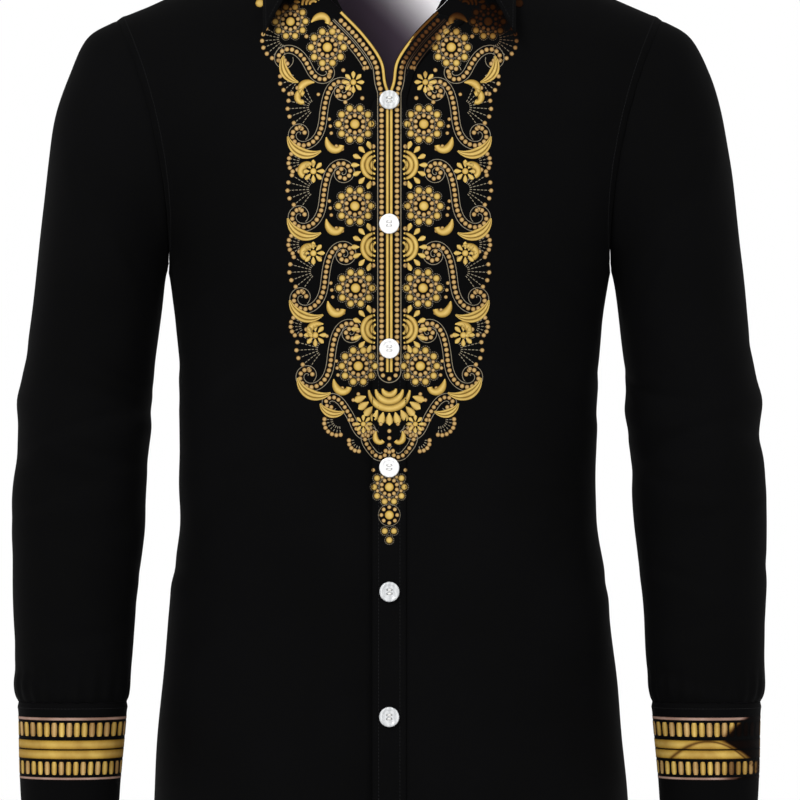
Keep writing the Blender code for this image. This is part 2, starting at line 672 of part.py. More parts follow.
def fall_sheet(angles, side, stand, under):
    """The collar's fall: it rolls over the stand's top edge and lies on the body."""
    places = column(FALL_EDGE, "angle")
    place = np.interp(np.degrees(angles), (np.degrees(angles).min(), 180), (places[0], places[-1]))
    edge = np.stack([smooth_read(places, column(FALL_EDGE, f), place) for f in ("x", "y", "z")], axis=-1)
    edge[:, 0] *= side
    top_row = slice(-len(angles) - 1, -1)
    top = stand.points[top_row] - stand.normals[top_row] * WALL
    upward = np.array([0, 0, 1.0])
    top = top + upward * SEAM_GAP
    outward = edge - top
    outward[:, 2] = 0
    outward /= np.linalg.norm(outward, axis=1, keepdims=True)
    t = np.array(FALL_ROWS)[:, None, None]
    first = top + upward * FALL_ROLL_UP + outward * FALL_ROLL_OUT * FALL_ROLL_START
    second = top + upward * FALL_ROLL_UP * FALL_ROLL_SETTLE + outward * FALL_ROLL_OUT
    grid = (
        top[None] * (1 - t) ** 3
        + 3 * first[None] * t * (1 - t) ** 2
        + 3 * second[None] * t * t * (1 - t)
        + edge[None] * t**3
    )
    sheet = grid_sheet("collar_fall", grid)
    lie_on(sheet, under, WALL + FALL_CLEARANCE, FALL_FREE_ROW * grid.shape[1])
    sheet.normals[: grid.shape[1]] = -stand.normals[top_row]
    return sheet


def lie_on(sheet, tree, clearance, fixed):
    """Moves a sheet's points out to at least the clearance over the surface under it."""
    for i in range(fixed, len(sheet.points)):
        point = Vector(sheet.points[i])
        near, normal, _, _ = tree.find_nearest(point)
        height = (point - near).dot(normal)
        if height < clearance:
            sheet.points[i] = point + normal * (clearance - height)
    sheet.normals = sheet.own_normals()


def underlap(sheet):
    """Sinks the right front's edge under the left one's."""
    x, z = sheet.points[:, 0], sheet.points[:, 2]
    near = 1 - ease((-x - UNDERLAP_START) / (UNDERLAP_END - UNDERLAP_START))
    bottom, top = FRONT_EDGE[LAP_END_STEP].z, FRONT_EDGE[LAP_END_STEP + 2].z
    closed = 1 - ease((z - bottom) / (top - bottom))
    sheet.points = sheet.points - sheet.normals * (UNDERLAP_DROP * near * closed)[:, None]


def placket_sheet():
    """The band on the left front's edge, made from the front's own points and moved out."""
    steps = np.concatenate([np.arange(-LOWER_ROWS, STAND_END_STEP), [BAND_TOP_STEP]])
    grid = panel_points(steps, np.arange(LAP_COLUMNS + 1), 1, facing=1)
    return grid_sheet("placket", grid)


def finish_material(name, colour, roughness):
    """A plain surface for one kind of piece."""
    material = bpy.data.materials.new(name)
    material.use_nodes = True
    shader = material.node_tree.nodes["Principled BSDF"]
    shader.inputs["Base Color"].default_value = (*colour, 1)
    shader.inputs["Roughness"].default_value = roughness
    shader.inputs["Metallic"].default_value = 0
    return material


def add_wall(sheet, material, collection):
    """Makes a sheet an object with a wall on its inside and faces round its rim."""
    outside = sheet.drawn_back()
    inside = outside - sheet.normals * WALL
    count = len(outside)
    a, b, c, d = sheet.faces.T
    triangles = np.concatenate([np.stack([a, b, c], 1), np.stack([a, c, d], 1)])
    start, end = sheet.rim().T
    rim = np.concatenate(
        [
            np.stack([end, start, start + count], 1),
            np.stack([end, start + count, end + count], 1),
        ]
    )
    faces = np.concatenate([triangles, triangles[:, ::-1] + count, rim])
    mesh = bpy.data.meshes.new(sheet.name)
    mesh.from_pydata(np.concatenate([outside, inside]).tolist(), [], faces.tolist())
    mesh.shade_smooth()
    mesh.set_sharp_from_angle(angle=SHARP_ANGLE)
    mesh.materials.append(material)
    cloth = bpy.data.objects.new(sheet.name, mesh)
    collection.objects.link(cloth)
    return cloth


def button_mesh(scale):
    """Half of a button's section: flat underside, rounded rim and a dished middle."""
    dish = BUTTON_THICKNESS - BUTTON_DISH
    rim = [(BUTTON_RADIUS - BUTTON_RIM * p.inset, BUTTON_THICKNESS * p.height) for p in BUTTON_EDGE]
    profile = [(0, dish), (BUTTON_RADIUS - BUTTON_RIM, dish), *rim, (0, 0)]
    mesh = bpy.data.meshes.new("button_profile")
    edges = [(i, i + 1) for i in range(len(profile) - 1)]
    mesh.from_pydata([(x * scale, 0, z * scale) for x, z in profile], edges, [])
    return mesh


def add_button(name, place, facing, scale, material, collection):
    """A button seated on the cloth at a place, with its axis along the cloth's outward normal."""
    button = bpy.data.objects.new(name, button_mesh(scale))
    collection.objects.link(button)
    screw = button.modifiers.new("turn", "SCREW")
    screw.steps = BUTTON_SIDES
    screw.render_steps = BUTTON_SIDES
    screw.use_merge_vertices = True
    screw.merge_threshold = MERGE_DISTANCE
    screw.use_smooth_shade = True
    button.data.materials.append(material)
    facing = Vector(facing).normalized()
    button.rotation_mode = "QUATERNION"
    button.rotation_quaternion = facing.to_track_quat("Z", "Y")
    button.location = Vector(place) + facing * SEAM_GAP
    return button


def seat(tree, origin, direction):
    """Where a line from origin first meets a surface, and the surface's direction there."""
    place, normal, _, _ = tree.ray_cast(Vector(origin), Vector(direction))
    if normal.dot(Vector(direction)) > 0:
        normal = -normal
    return place, normal


def clear_scene():
    """Removes whatever the scene holds."""
    for thing in list(bpy.data.objects):
        bpy.data.objects.remove(thing, do_unlink=True)


def build_shirt():
    """Makes every piece of the shirt."""
    clear_scene()
    shirt = bpy.data.collections.new("long_sleeve_shirt")
    bpy.context.scene.collection.children.link(shirt)
    cloth = finish_material("black_cotton", (0.006, 0.006, 0.007), 0.8)
    pearl = finish_material("pearl_button", (0.86, 0.86, 0.85), 0.25)

    front_right = front_sheet("front_right", -1)
    front_left = front_sheet("front_left", 1)
    back = back_sheet()
    sleeve_right = sleeve_sheet("sleeve_right", -1, RIGHT_SLEEVE_FOLDS)
    sleeve_left = sleeve_sheet("sleeve_left", 1, LEFT_SLEEVE_FOLDS)
    stand, fall_angles, fall_side = stand_sheet()
    placket = placket_sheet()

    turns = np.linspace(0, 2 * math.pi, SEAM_SAMPLES)
    armhole = sleeve_points(np.zeros_like(turns), turns)
    opening = front_edge(np.linspace(LAP_END_STEP, STAND_END_STEP, SHOULDER_STEP), 1)
    seams = np.concatenate([armhole, armhole * (-1, 1, 1), neck_points()[0], opening])
    body = [front_right, front_left, back]
    sew(body)
    for sheet in body + [placket]:
        fold_body(sheet, seams)
    for sheet in body:
        sheet.normals = sheet.own_normals()
    sew(body, [sleeve_right], [sleeve_left], [stand])
    placket.normals = placket.own_normals()
    placket = placket.moved_out("placket", LAYER)
    underlap(front_right)

    whole_body = joined("body", joined("fronts", front_right, front_left), back)
    fall = fall_sheet(fall_angles, fall_side, stand, whole_body.tree())
    cuffs = [cuff_sheet("cuff_right", -1), cuff_sheet("cuff_left", 1)]
    for sheet in body + [placket, sleeve_right, sleeve_left, stand, fall] + cuffs:
        add_wall(sheet, cloth, shirt)

    band = placket.tree()
    for number, z in enumerate(FRONT_BUTTON_Z, start=1):
        place, normal = seat(band, (0, -1, z), (0, 1, 0))
        add_button(f"button_{number}", place, normal, 1, pearl, shirt)
    stand_columns = len(stand.points) // (STAND_ROWS + 1)
    by_the_end = stand_columns + 1
    place, normal = stand.points[by_the_end], stand.normals[by_the_end]
    add_button("button_stand", place, normal, SMALL_BUTTON_SCALE, pearl, shirt)
    angle = CUFF_START + CUFF_OVERLAP / 2
    cuff_x = (CUFF_END.outer_x + CUFF_END.inner_x) / 2
    for sheet, side, name in zip(cuffs, (-1, 1), ("right", "left")):
        outward = Vector((-side * math.cos(angle), -math.sin(angle), 0))
        middle = Vector((side * cuff_x, CUFF_END.y, (CUFF_TOP_Z + CUFF_END_Z) / 2))
        place, normal = seat(sheet.tree(), middle + outward, -outward)
        add_button(f"button_cuff_{name}", place, normal, SMALL_BUTTON_SCALE, pearl, shirt)


build_shirt()
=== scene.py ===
"""The looks of a man's long-sleeve shirt, filled out as it is when worn, with no wearer.

Metres, +Z up. The front faces -Y and the wearer's left is +X. Every piece of cloth is a surface
on a grid of rows and columns, computed as whole arrays: its form, then its folds, its creases and
its sewn edges. The printed ornament is drawn flat, in the photograph's own pixels, and then laid
on the cloth.
"""

from __future__ import annotations

import logging
import math
from dataclasses import dataclass, field
from enum import Enum
from types import MappingProxyType
from typing import Any, Iterable, NamedTuple

import bpy
import numpy as np
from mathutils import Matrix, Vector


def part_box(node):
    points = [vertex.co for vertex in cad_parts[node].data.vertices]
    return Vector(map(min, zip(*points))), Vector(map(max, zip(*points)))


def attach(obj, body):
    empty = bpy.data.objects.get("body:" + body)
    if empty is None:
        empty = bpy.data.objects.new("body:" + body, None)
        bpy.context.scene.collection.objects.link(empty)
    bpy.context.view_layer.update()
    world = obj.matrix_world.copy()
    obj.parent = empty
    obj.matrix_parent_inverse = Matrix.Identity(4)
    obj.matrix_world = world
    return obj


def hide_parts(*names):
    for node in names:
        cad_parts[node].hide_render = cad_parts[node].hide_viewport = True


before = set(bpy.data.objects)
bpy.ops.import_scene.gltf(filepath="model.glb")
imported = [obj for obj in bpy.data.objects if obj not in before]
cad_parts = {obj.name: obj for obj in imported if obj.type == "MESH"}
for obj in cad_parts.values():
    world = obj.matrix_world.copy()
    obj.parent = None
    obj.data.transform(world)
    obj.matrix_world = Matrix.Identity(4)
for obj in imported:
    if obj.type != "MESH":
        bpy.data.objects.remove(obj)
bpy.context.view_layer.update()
log = logging.getLogger("shirt")

NONE = MappingProxyType({})
Array = np.ndarray
Material = bpy.types.Material
Mesh = bpy.types.Mesh
Piece = bpy.types.Object
Triple = tuple[float, float, float]
Floats = tuple[float, ...]

# Cloth
THICKNESS = 0.0009
LAYER = 0.0021
PLACKET_EDGE_LIFT = 0.0013
UNDERLAP_DROP = 0.0032

# Levels of the body
ARMPIT_Z = -0.266
HEM_SIDE_Z = -0.720
HEM_CENTRE_Z = -0.770
SIDE_SEAM_Y = 0.004
TORSO_SQUARENESS = 0.90
HEM_CURVE = 2.5
YOKE_CURVE = 1.25
FLATTEST_ROW = 0.62
LEAST_DEPTH = 1e-9

# The front opening
LAP = 0.0132
LAP_COLUMNS = 2
UNDERLAP_START = 0.016
UNDERLAP_END = 0.036
LAP_END_STEP = 5
BAND_TOP_STEP = 7.85

# The neck's base: an oval about the origin
NECK_HALF_WIDTH = 0.072
NECK_FRONT_DEPTH = 0.0834
NECK_BACK_DEPTH = 0.062
NECK_SIDE_Z = -0.010
NECK_SLOPE = 0.26
NECK_DROP = 6.97
NECK_FRONT_END = math.radians(31.7)
STAND_END_STEP = 8
SHOULDER_STEP = 12
STAND_EXTENSION = 0.013

# Rows and columns
LOWER_STEPS = 12
BODY_COLUMNS = 9
SLEEVE_SQUARENESS = 0.95
ARMHOLE_BOW_FRONT = 0.012
ARMHOLE_BOW_BACK = 0.008
ARMHOLE_BOW_RINGS = 3.0
FOLD_CLEAR_OF_SEAM = 0.045
COUNTER_PLACE = 1.7
COUNTER_SPREAD = 1.6
SEAM_SAMPLES = 192

# Cuffs
CUFF_TOP_Z = -0.612
CUFF_END_Z = -0.696
CUFF_START = math.radians(212)
CUFF_OVERLAP = math.radians(24)
CUFF_RISE_ANGLE = math.radians(30)
CUFF_LIFT = 0.0023

# Buttons
BUTTON_RADIUS = 0.0079
BUTTON_THICKNESS = 0.0026
FRONT_BUTTONS = 6
WHITE_BUTTONS = (2, 3, 4)
SEWN_GAP = 0.0003
SMALL_BUTTON_SCALE = 0.75

# Topstitching, from the edge
HEM_STITCH = 0.0018
ARMHOLE_STITCH = 0.0062
BAND_STITCH = 0.0050
COLLAR_STITCH = 0.0055

# The print: its height over the cloth, and more by tone
INK_LIFT = 0.00016
INK_LEVELS = np.array((0.00005, 0.000025, 0.0, 0.0))
BEFORE_CLOTH = -0.3

# Shadows in the photograph's pixels: the open neck's edge, and the left cuff's dark end
NECK_ROWS = (0, 15, 32, 50, 70, 82)
NECK_EDGE = (439, 425, 410, 400, 394, 391)
SHADOW_ROWS = (718, 724, 737, 742, 749, 752, 760, 764, 775, 779)
SHADOW_EDGE = (742, 732, 719, 718, 729, 734, 744, 750, 750, 730)

# The view
CAMERA_X = 0.0084
CAMERA_Y = -6.0
CAMERA_Z = -0.372
VIEW_WIDTH = 0.64
PIXELS = 800
SENSOR_MM = 36.0


def table(kind: type, *rows: tuple) -> tuple:
    """Rows of numbers as rows of one kind, whose fields say what each number is."""
    return tuple(kind(*row) for row in rows)


class TorsoLevel(NamedTuple):
    """A level of the body below the armpits: half widths at the seams, depths at the middle."""

    z: float
    right: float
    left: float
    front: float
    back: float


TORSO = table(
    TorsoLevel,
    (-0.770, 0.1900, 0.1940, 0.1270, 0.1200),
    (-0.692, 0.1878, 0.1906, 0.1225, 0.1160),
    (-0.612, 0.1832, 0.1828, 0.1175, 0.1090),
    (-0.548, 0.1764, 0.1764, 0.1130, 0.1000),
    (-0.484, 0.1708, 0.1706, 0.1105, 0.0920),
    (-0.436, 0.1694, 0.1660, 0.1100, 0.0880),
    (-0.388, 0.1680, 0.1658, 0.1115, 0.0890),
    (-0.340, 0.1686, 0.1680, 0.1150, 0.0940),
    (-0.300, 0.1722, 0.1716, 0.1190, 0.1005),
    (-0.266, 0.1767, 0.1767, 0.1215, 0.1060),
)


class EdgeStep(NamedTuple):
    """A step up the middle of a panel above the armpits: how far out, how deep and how high."""

    step: float
    out: float
    depth: float
    z: float


FRONT_EDGE = table(
    EdgeStep,
    (0, -LAP, 0.1215, -0.2660),
    (1, -LAP, 0.1222, -0.2350),
    (2, -LAP, 0.1210, -0.2030),
    (3, -LAP, 0.1165, -0.1710),
    (4, -LAP, 0.1090, -0.1405),
    (5, 0.0008, 0.1040, -0.1266),
    (6, 0.0050, 0.0935, -0.1050),
    (7, 0.0190, 0.0808, -0.0838),
    (8, 0.0378, 0.0670, -0.0636),
)
BAND_STEPS = (3, 4, 5, 6, 7, 8)
BAND_OUTER_X = (0.0132, 0.0132, 0.0150, 0.0225, 0.0400, 0.0625)
BACK_EDGE = table(
    EdgeStep,
    (0, 0, 0.1060, -0.2660),
    (1, 0, 0.1100, -0.2280),
    (2, 0, 0.1130, -0.1900),
    (3, 0, 0.1140, -0.1520),
    (4, 0, 0.1125, -0.1150),
    (5, 0, 0.1080, -0.0800),
    (6, 0, 0.0990, -0.0460),
    (7, 0, 0.0850, -0.0160),
    (8, 0, 0.0660, 0.0061),
)


class SleeveRing(NamedTuple):
    """A ring of the sleeve: its outer and inner points, its half depth and how far back it is."""

    outer_x: float
    outer_z: float
    inner_x: float
    inner_z: float
    depth: float
    y: float


SLEEVE = table(
    SleeveRing,
    (0.2180, -0.0680, 0.1767, -0.2660, 0.0640, 0.004),
    (0.2412, -0.0822, 0.1776, -0.2690, 0.0665, 0.004),
    (0.2560, -0.1110, 0.1787, -0.2735, 0.0690, 0.004),
    (0.2664, -0.1420, 0.1799, -0.2805, 0.0712, 0.004),
    (0.2722, -0.1790, 0.1812, -0.2905, 0.0722, 0.004),
    (0.2777, -0.2220, 0.1830, -0.3045, 0.0718, 0.005),
    (0.2820, -0.2640, 0.1854, -0.3225, 0.0700, 0.006),
    (0.2868, -0.3050, 0.1880, -0.3440, 0.0670, 0.008),
    (0.2918, -0.3430, 0.1894, -0.3680, 0.0636, 0.009),
    (0.2968, -0.3800, 0.1902, -0.3920, 0.0605, 0.008),
    (0.2994, -0.4200, 0.1930, -0.4230, 0.0575, 0.004),
    (0.3018, -0.4600, 0.1948, -0.4600, 0.0545, -0.001),
    (0.3012, -0.5000, 0.1984, -0.5000, 0.0515, -0.007),
    (0.3004, -0.5400, 0.2020, -0.5400, 0.0490, -0.013),
    (0.2990, -0.5750, 0.2046, -0.5750, 0.0470, -0.018),
    (0.2984, -0.6010, 0.2070, -0.6010, 0.0448, -0.021),
    (0.2962, -0.6120, 0.2088, -0.6120, 0.0420, -0.022),
)
CUFF_END = SleeveRing(0.2932, CUFF_END_Z, 0.2154, CUFF_END_Z, 0.0375, -0.026)


class StandStation(NamedTuple):
    """How far the stand's top lies from its foot, by the angle round the neck from the front."""

    angle: float
    outward: float
    back: float
    up: float


STAND_RISE = table(
    StandStation,
    (31.7, 0.0100, 0.0100, 0.0240),
    (50, 0.0030, 0.0060, 0.0285),
    (90, -0.0075, 0.0020, 0.0330),
    (135, -0.0060, -0.0050, 0.0345),
    (180, 0.0, -0.0080, 0.0350),
)


class FallStation(NamedTuple):
    """The free edge of the collar's fall, by the angle round the neck from the front."""

    angle: float
    x: float
    y: float
    z: float


FALL_EDGE = table(
    FallStation,
    (40, 0.0998, -0.0830, -0.0837),
    (56, 0.1003, -0.0600, -0.0560),
    (72, 0.1010, -0.0300, -0.0300),
    (90, 0.0985, 0.0040, -0.0130),
    (118, 0.0850, 0.0440, -0.0080),
    (150, 0.0480, 0.0790, -0.0120),
    (180, 0.0, 0.0880, -0.0170),
)
FALL_CLEARANCE = 0.0024
FALL_FREE_SHARE = 0.3
FALL_ROLL_UP = 0.012
FALL_ROLL_OUT = 0.015
FALL_ROLL_START = 0.2
FALL_ROLL_SETTLE = 0.6


class Side(Enum):
    """The wearer's side a piece is on, as the sign of its x."""

    RIGHT = -1
    LEFT = 1


class Facing(Enum):
    """Which half of the body a panel covers."""

    FRONT = 1
    BACK = -1


class Fold(NamedTuple):
    """A soft ridge, or a trough if its rise is below 0. Angles are in degrees.

    On the body 0 is the middle of the front and 90 the wearer's left. On a sleeve 0 is the inner
    seam, 90 the front and 180 the outer side. The lean is how far the fold climbs in 90 degrees, and
    the bend how far its ends turn up at one half angle. A pinch adds a shallow counter-fold below.
    """

    angle: float
    z: float
    half_angle: float
    half_height: float
    lean: float
    rise: float
    bend: float = 0.0
    pinch: float = 0.0


BODY_FOLDS = table(
    Fold,
    (-62, -0.315, 20, 0.026, 0.110, -0.0034),
    (60, -0.322, 22, 0.026, -0.120, -0.0036),
    (-58, -0.395, 26, 0.024, 0.070, -0.0030),
    (66, -0.412, 24, 0.024, -0.075, -0.0032),
    (-84, -0.470, 30, 0.026, -0.030, -0.0028),
    (88, -0.478, 28, 0.028, 0.040, -0.0030),
    (-38, -0.720, 13, 0.150, 0, 0.0045),
    (44, -0.730, 14, 0.160, 0, 0.0050),
    (-128, -0.700, 15, 0.170, 0, 0.0060),
    (122, -0.710, 15, 0.160, 0, 0.0055),
    (168, -0.640, 12, 0.170, 0, 0.0050),
    (-166, -0.400, 34, 0.026, 0.030, -0.0034),
    (150, -0.450, 32, 0.026, -0.040, -0.0036),
)
BODY_CREASES = table(
    Fold,
    (-66, -0.288, 15, 0.007, 0.120, -0.0015, 0.006, 0.7),
    (-48, -0.338, 17, 0.007, 0.100, -0.0013, -0.005, 0.8),
    (-72, -0.365, 14, 0.006, 0.060, -0.0014, 0.004, 0.6),
    (-55, -0.430, 16, 0.007, 0.045, -0.0012, 0.006, 0.7),
    (-80, -0.508, 18, 0.008, -0.030, -0.0013, -0.006, 0.6),
    (-34, -0.470, 15, 0.009, 0.035, -0.0009, 0.005, 0.5),
    (64, -0.292, 14, 0.007, -0.125, -0.0015, 0.005, 0.8),
    (50, -0.350, 18, 0.007, -0.095, -0.0014, -0.006, 0.7),
    (74, -0.378, 15, 0.006, -0.060, -0.0013, 0.005, 0.6),
    (58, -0.446, 17, 0.008, -0.050, -0.0013, 0.007, 0.7),
    (82, -0.520, 16, 0.008, 0.035, -0.0012, -0.005, 0.5),
    (32, -0.560, 15, 0.010, -0.030, -0.0009, 0.004, 0.5),
    (-26, -0.600, 5, 0.085, 0.010, -0.0012),
    (24, -0.640, 5, 0.095, 0, -0.0013),
    (-60, -0.660, 6, 0.090, 0, -0.0016),
    (64, -0.650, 6, 0.100, 0, -0.0017),
    (-105, -0.330, 14, 0.008, -0.110, -0.0016, 0.005, 0.7),
    (-124, -0.372, 17, 0.008, -0.080, -0.0014, -0.006, 0.7),
    (-150, -0.436, 20, 0.008, -0.040, -0.0015, 0.008, 0.6),
    (-172, -0.462, 22, 0.009, 0.020, -0.0013, -0.007, 0.6),
    (-140, -0.500, 19, 0.009, -0.030, -0.0012, 0.006, 0.5),
    (106, -0.336, 15, 0.008, 0.115, -0.0015, 0.006, 0.7),
    (128, -0.386, 18, 0.008, 0.070, -0.0014, -0.005, 0.7),
    (154, -0.418, 19, 0.008, 0.035, -0.0014, 0.007, 0.6),
    (172, -0.496, 20, 0.009, -0.025, -0.0012, 0.006, 0.5),
    (136, -0.530, 17, 0.010, 0.030, -0.0011, -0.006, 0.5),
    (146, -0.660, 6, 0.100, 0, -0.0018),
    (-148, -0.650, 6, 0.095, 0, -0.0017),
    (-178, -0.680, 6, 0.085, 0, -0.0015),
    (-160, -0.150, 26, 0.030, 0.030, -0.0016, 0.010),
    (158, -0.160, 24, 0.030, -0.030, -0.0016, 0.010),
)
RIGHT_SLEEVE_FOLDS = table(
    Fold,
    (40, -0.372, 58, 0.012, 0.020, -0.0040),
    (70, -0.402, 70, 0.012, -0.016, 0.0030),
    (110, -0.432, 66, 0.013, 0.018, -0.0034),
    (185, -0.372, 46, 0.013, 0.010, 0.0026),
    (60, -0.470, 60, 0.015, -0.020, -0.0026),
    (95, -0.300, 40, 0.030, 0.060, -0.0028),
    (250, -0.420, 40, 0.030, 0.030, 0.0030),
)
LEFT_SLEEVE_FOLDS = table(
    Fold,
    (30, -0.384, 60, 0.012, -0.016, 0.0028),
    (60, -0.412, 64, 0.012, 0.022, -0.0040),
    (178, -0.372, 52, 0.013, 0.012, 0.0030),
    (150, -0.396, 50, 0.012, -0.018, -0.0030),
    (80, -0.476, 62, 0.015, 0.016, -0.0028),
    (100, -0.296, 38, 0.030, 0.050, -0.0030),
    (262, -0.430, 42, 0.028, -0.030, 0.0030),
)
RIGHT_SLEEVE_CREASES = table(
    Fold,
    (52, -0.356, 42, 0.005, 0.026, -0.0016, 0.004, 0.8),
    (84, -0.388, 48, 0.005, -0.022, -0.0014, -0.004, 0.7),
    (64, -0.418, 46, 0.006, 0.020, -0.0016, 0.005, 0.8),
    (120, -0.452, 40, 0.006, -0.024, -0.0013, 0.004, 0.6),
    (48, -0.492, 44, 0.006, 0.022, -0.0012, -0.004, 0.7),
    (70, -0.560, 50, 0.007, -0.018, -0.0013, 0.005, 0.6),
    (130, -0.590, 46, 0.006, 0.014, -0.0012, -0.004, 0.6),
    (60, -0.260, 28, 0.012, 0.110, -0.0015, 0.006, 0.5),
    (100, -0.220, 24, 0.012, 0.100, -0.0013, 0.006, 0.5),
    (290, -0.270, 28, 0.012, -0.100, -0.0016, 0.006, 0.5),
    (300, -0.380, 44, 0.006, 0.020, -0.0015, 0.004, 0.7),
    (270, -0.440, 46, 0.007, -0.018, -0.0014, 0.005, 0.7),
    (240, -0.540, 44, 0.008, 0.022, -0.0013, -0.004, 0.6),
    (200, -0.330, 34, 0.010, 0.030, -0.0013, 0.005, 0.5),
    (210, -0.480, 36, 0.008, -0.020, -0.0012, 0.005, 0.5),
)
LEFT_SLEEVE_CREASES = table(
    Fold,
    (46, -0.366, 44, 0.005, -0.020, -0.0015, 0.005, 0.8),
    (90, -0.394, 44, 0.005, 0.026, -0.0016, -0.004, 0.8),
    (58, -0.436, 50, 0.006, -0.022, -0.0014, 0.005, 0.7),
    (114, -0.460, 40, 0.006, 0.020, -0.0014, 0.004, 0.6),
    (54, -0.508, 42, 0.006, -0.020, -0.0013, -0.005, 0.7),
    (96, -0.548, 46, 0.007, 0.022, -0.0012, 0.004, 0.6),
    (60, -0.592, 44, 0.006, -0.014, -0.0013, -0.004, 0.6),
    (64, -0.268, 26, 0.012, 0.105, -0.0016, 0.006, 0.5),
    (104, -0.212, 24, 0.012, 0.090, -0.0012, 0.006, 0.5),
    (286, -0.262, 28, 0.012, -0.095, -0.0015, 0.006, 0.5),
    (304, -0.392, 42, 0.006, -0.020, -0.0014, 0.004, 0.7),
    (268, -0.456, 46, 0.007, 0.020, -0.0015, 0.005, 0.7),
    (236, -0.556, 42, 0.008, -0.022, -0.0012, -0.004, 0.6),
    (196, -0.338, 34, 0.010, -0.030, -0.0012, 0.005, 0.5),
    (206, -0.500, 36, 0.008, 0.022, -0.0013, 0.005, 0.5),
)


def smooth_read(stations: Any, values: Any, at: Any) -> Array:
    """A smooth cubic curve through values at rising stations.

    Between two stations it is the Hermite cubic whose slopes are the central differences there.

    Args:
        stations: Where the values are given.
        values: The values.
        at: Where the curve is read.

    Returns:
        The curve's values there.
    """
    stations, values, at = (real(x) for x in (stations, values, at))
    slopes = np.gradient(values, stations)
    span = np.clip(np.searchsorted(stations, at, side="right") - 1, 0, len(stations) - 2)
    width = stations[span + 1] - stations[span]
    t = np.clip((at - stations[span]) / width, 0, 1)
    return (
        values[span] * (1 + 2 * t) * (1 - t) ** 2
        + values[span + 1] * t * t * (3 - 2 * t)
        + slopes[span] * t * (1 - t) ** 2 * width
        + slopes[span + 1] * t * t * (t - 1) * width
    )


def ease(t: Any) -> Array:
    """0 below 0, 1 above 1, and the soft step 3t^2 - 2t^3 between."""
    t = np.clip(t, 0, 1)
    return t * t * (3 - 2 * t)


def real(values: Any) -> Array:
    """Numbers as an array of real ones."""
    return np.asarray(values, dtype=float)


def together(*parts: Array) -> Array:
    """Arrays of single coordinates as one array of points."""
    return np.stack(parts, axis=-1)


def bell(x: Any) -> Array:
    """1 at 0, falling away on both sides as exp(-x^2)."""
    return np.exp(-(x**2))


def even_turns(count: int) -> Array:
    """Angles spaced evenly round a circle."""
    return 2 * math.pi * np.arange(count) / count


def spokes(turn: Array) -> Array:
    """Directions at angles in radians."""
    return together(np.cos(turn), np.sin(turn))


def run_along(points: Array, axis: int = 0) -> Array:
    """How far from the first point each one is, measured along the lines that an axis counts."""
    steps = np.linalg.norm(np.diff(points, axis=axis), axis=-1)
    return np.insert(np.cumsum(steps, axis=axis), 0, 0, axis=axis)


def running_sum(values: Array, stride: float) -> Array:
    """The area under evenly spaced values up to each, from 0: a sum of each pair's mean."""
    return np.insert(np.cumsum((values[1:] + values[:-1]) / 2 * stride, axis=0), 0, 0, axis=0)


def column(rows: tuple, name: str) -> Array:
    """One named column of a table."""
    return np.array([getattr(row, name) for row in rows], dtype=float)


def squared(value: Any, squareness: float) -> Array:
    """A sine or cosine raised to the outline's squareness, with its sign kept."""
    return np.sign(value) * np.abs(value) ** squareness


def unit(vectors: Array) -> Array:
    """Vectors made 1 long; a vector of no length stays so."""
    length = np.linalg.norm(vectors, axis=-1, keepdims=True)
    return vectors / np.maximum(length, 1e-12)


def neckline(angle: Any) -> Array:
    """A point of the neck's base on +X, by the angle from the middle front: 180 degrees is the back.

    The base is an oval, deeper in front than behind, that slopes up to the back and drops with
    the square of its depth in front.
    """
    angle = real(angle)
    depth = np.where(np.cos(angle) > 0, NECK_FRONT_DEPTH, NECK_BACK_DEPTH)
    back = -depth * np.cos(angle)
    drop = np.where(back < 0, NECK_DROP * back**2, 0)
    height = NECK_SIDE_Z + NECK_SLOPE * back - drop
    return together(NECK_HALF_WIDTH * np.sin(angle), SIDE_SEAM_Y + back, height)


def oval(sizes: list, angle: Array, ring: Any) -> Array:
    """A ring of a sleeve or cuff: a squared oval in a tilted plane, from its inner point round.

    Near the armhole the ring bows towards the neck by the square of how far forward it is.
    """
    outer_x, outer_z, inner_x, inner_z, depth, y = sizes
    outward = squared(-np.cos(angle), SLEEVE_SQUARENESS)
    forward = squared(np.sin(angle), SLEEVE_SQUARENESS)
    bow = np.where(forward > 0, ARMHOLE_BOW_FRONT, ARMHOLE_BOW_BACK) * np.abs(forward) ** 2
    near = 1 - ease(np.asarray(ring) / ARMHOLE_BOW_RINGS)
    x = (outer_x + inner_x) / 2 + (outer_x - inner_x) / 2 * outward - bow * near
    z = (outer_z + inner_z) / 2 + (outer_z - inner_z) / 2 * outward
    return together(x, y - depth * forward, z)


def sleeve_points(ring: Any, angle: Any) -> Array:
    """Points of the left sleeve's outside, its rings read smoothly between the table's."""
    ring, angle = np.broadcast_arrays(np.asarray(ring, float), np.asarray(angle, float))
    rings = np.arange(len(SLEEVE))
    sizes = [smooth_read(rings, column(SLEEVE, name), ring) for name in SleeveRing._fields]
    return oval(sizes, angle, ring)


def neck_steps(count: int) -> Array:
    """Angles of the neckline's points from the stand's end to the shoulder seam."""
    radius = math.hypot(NECK_HALF_WIDTH, NECK_FRONT_DEPTH) / math.sqrt(2)
    first = NECK_FRONT_END + STAND_EXTENSION / radius
    return np.concatenate([[NECK_FRONT_END], np.linspace(first, math.pi / 2, count)])


def edge_low(step: Array, facing: Facing) -> tuple[Array, Array]:
    """The height and depth of a panel's middle line below the armpits."""
    low = np.clip(step, -LOWER_STEPS, 0) / LOWER_STEPS
    z = ARMPIT_Z + (ARMPIT_Z - HEM_CENTRE_Z) * low
    name = "front" if facing is Facing.FRONT else "back"
    return z, smooth_read(column(TORSO, "z"), column(TORSO, name), z)


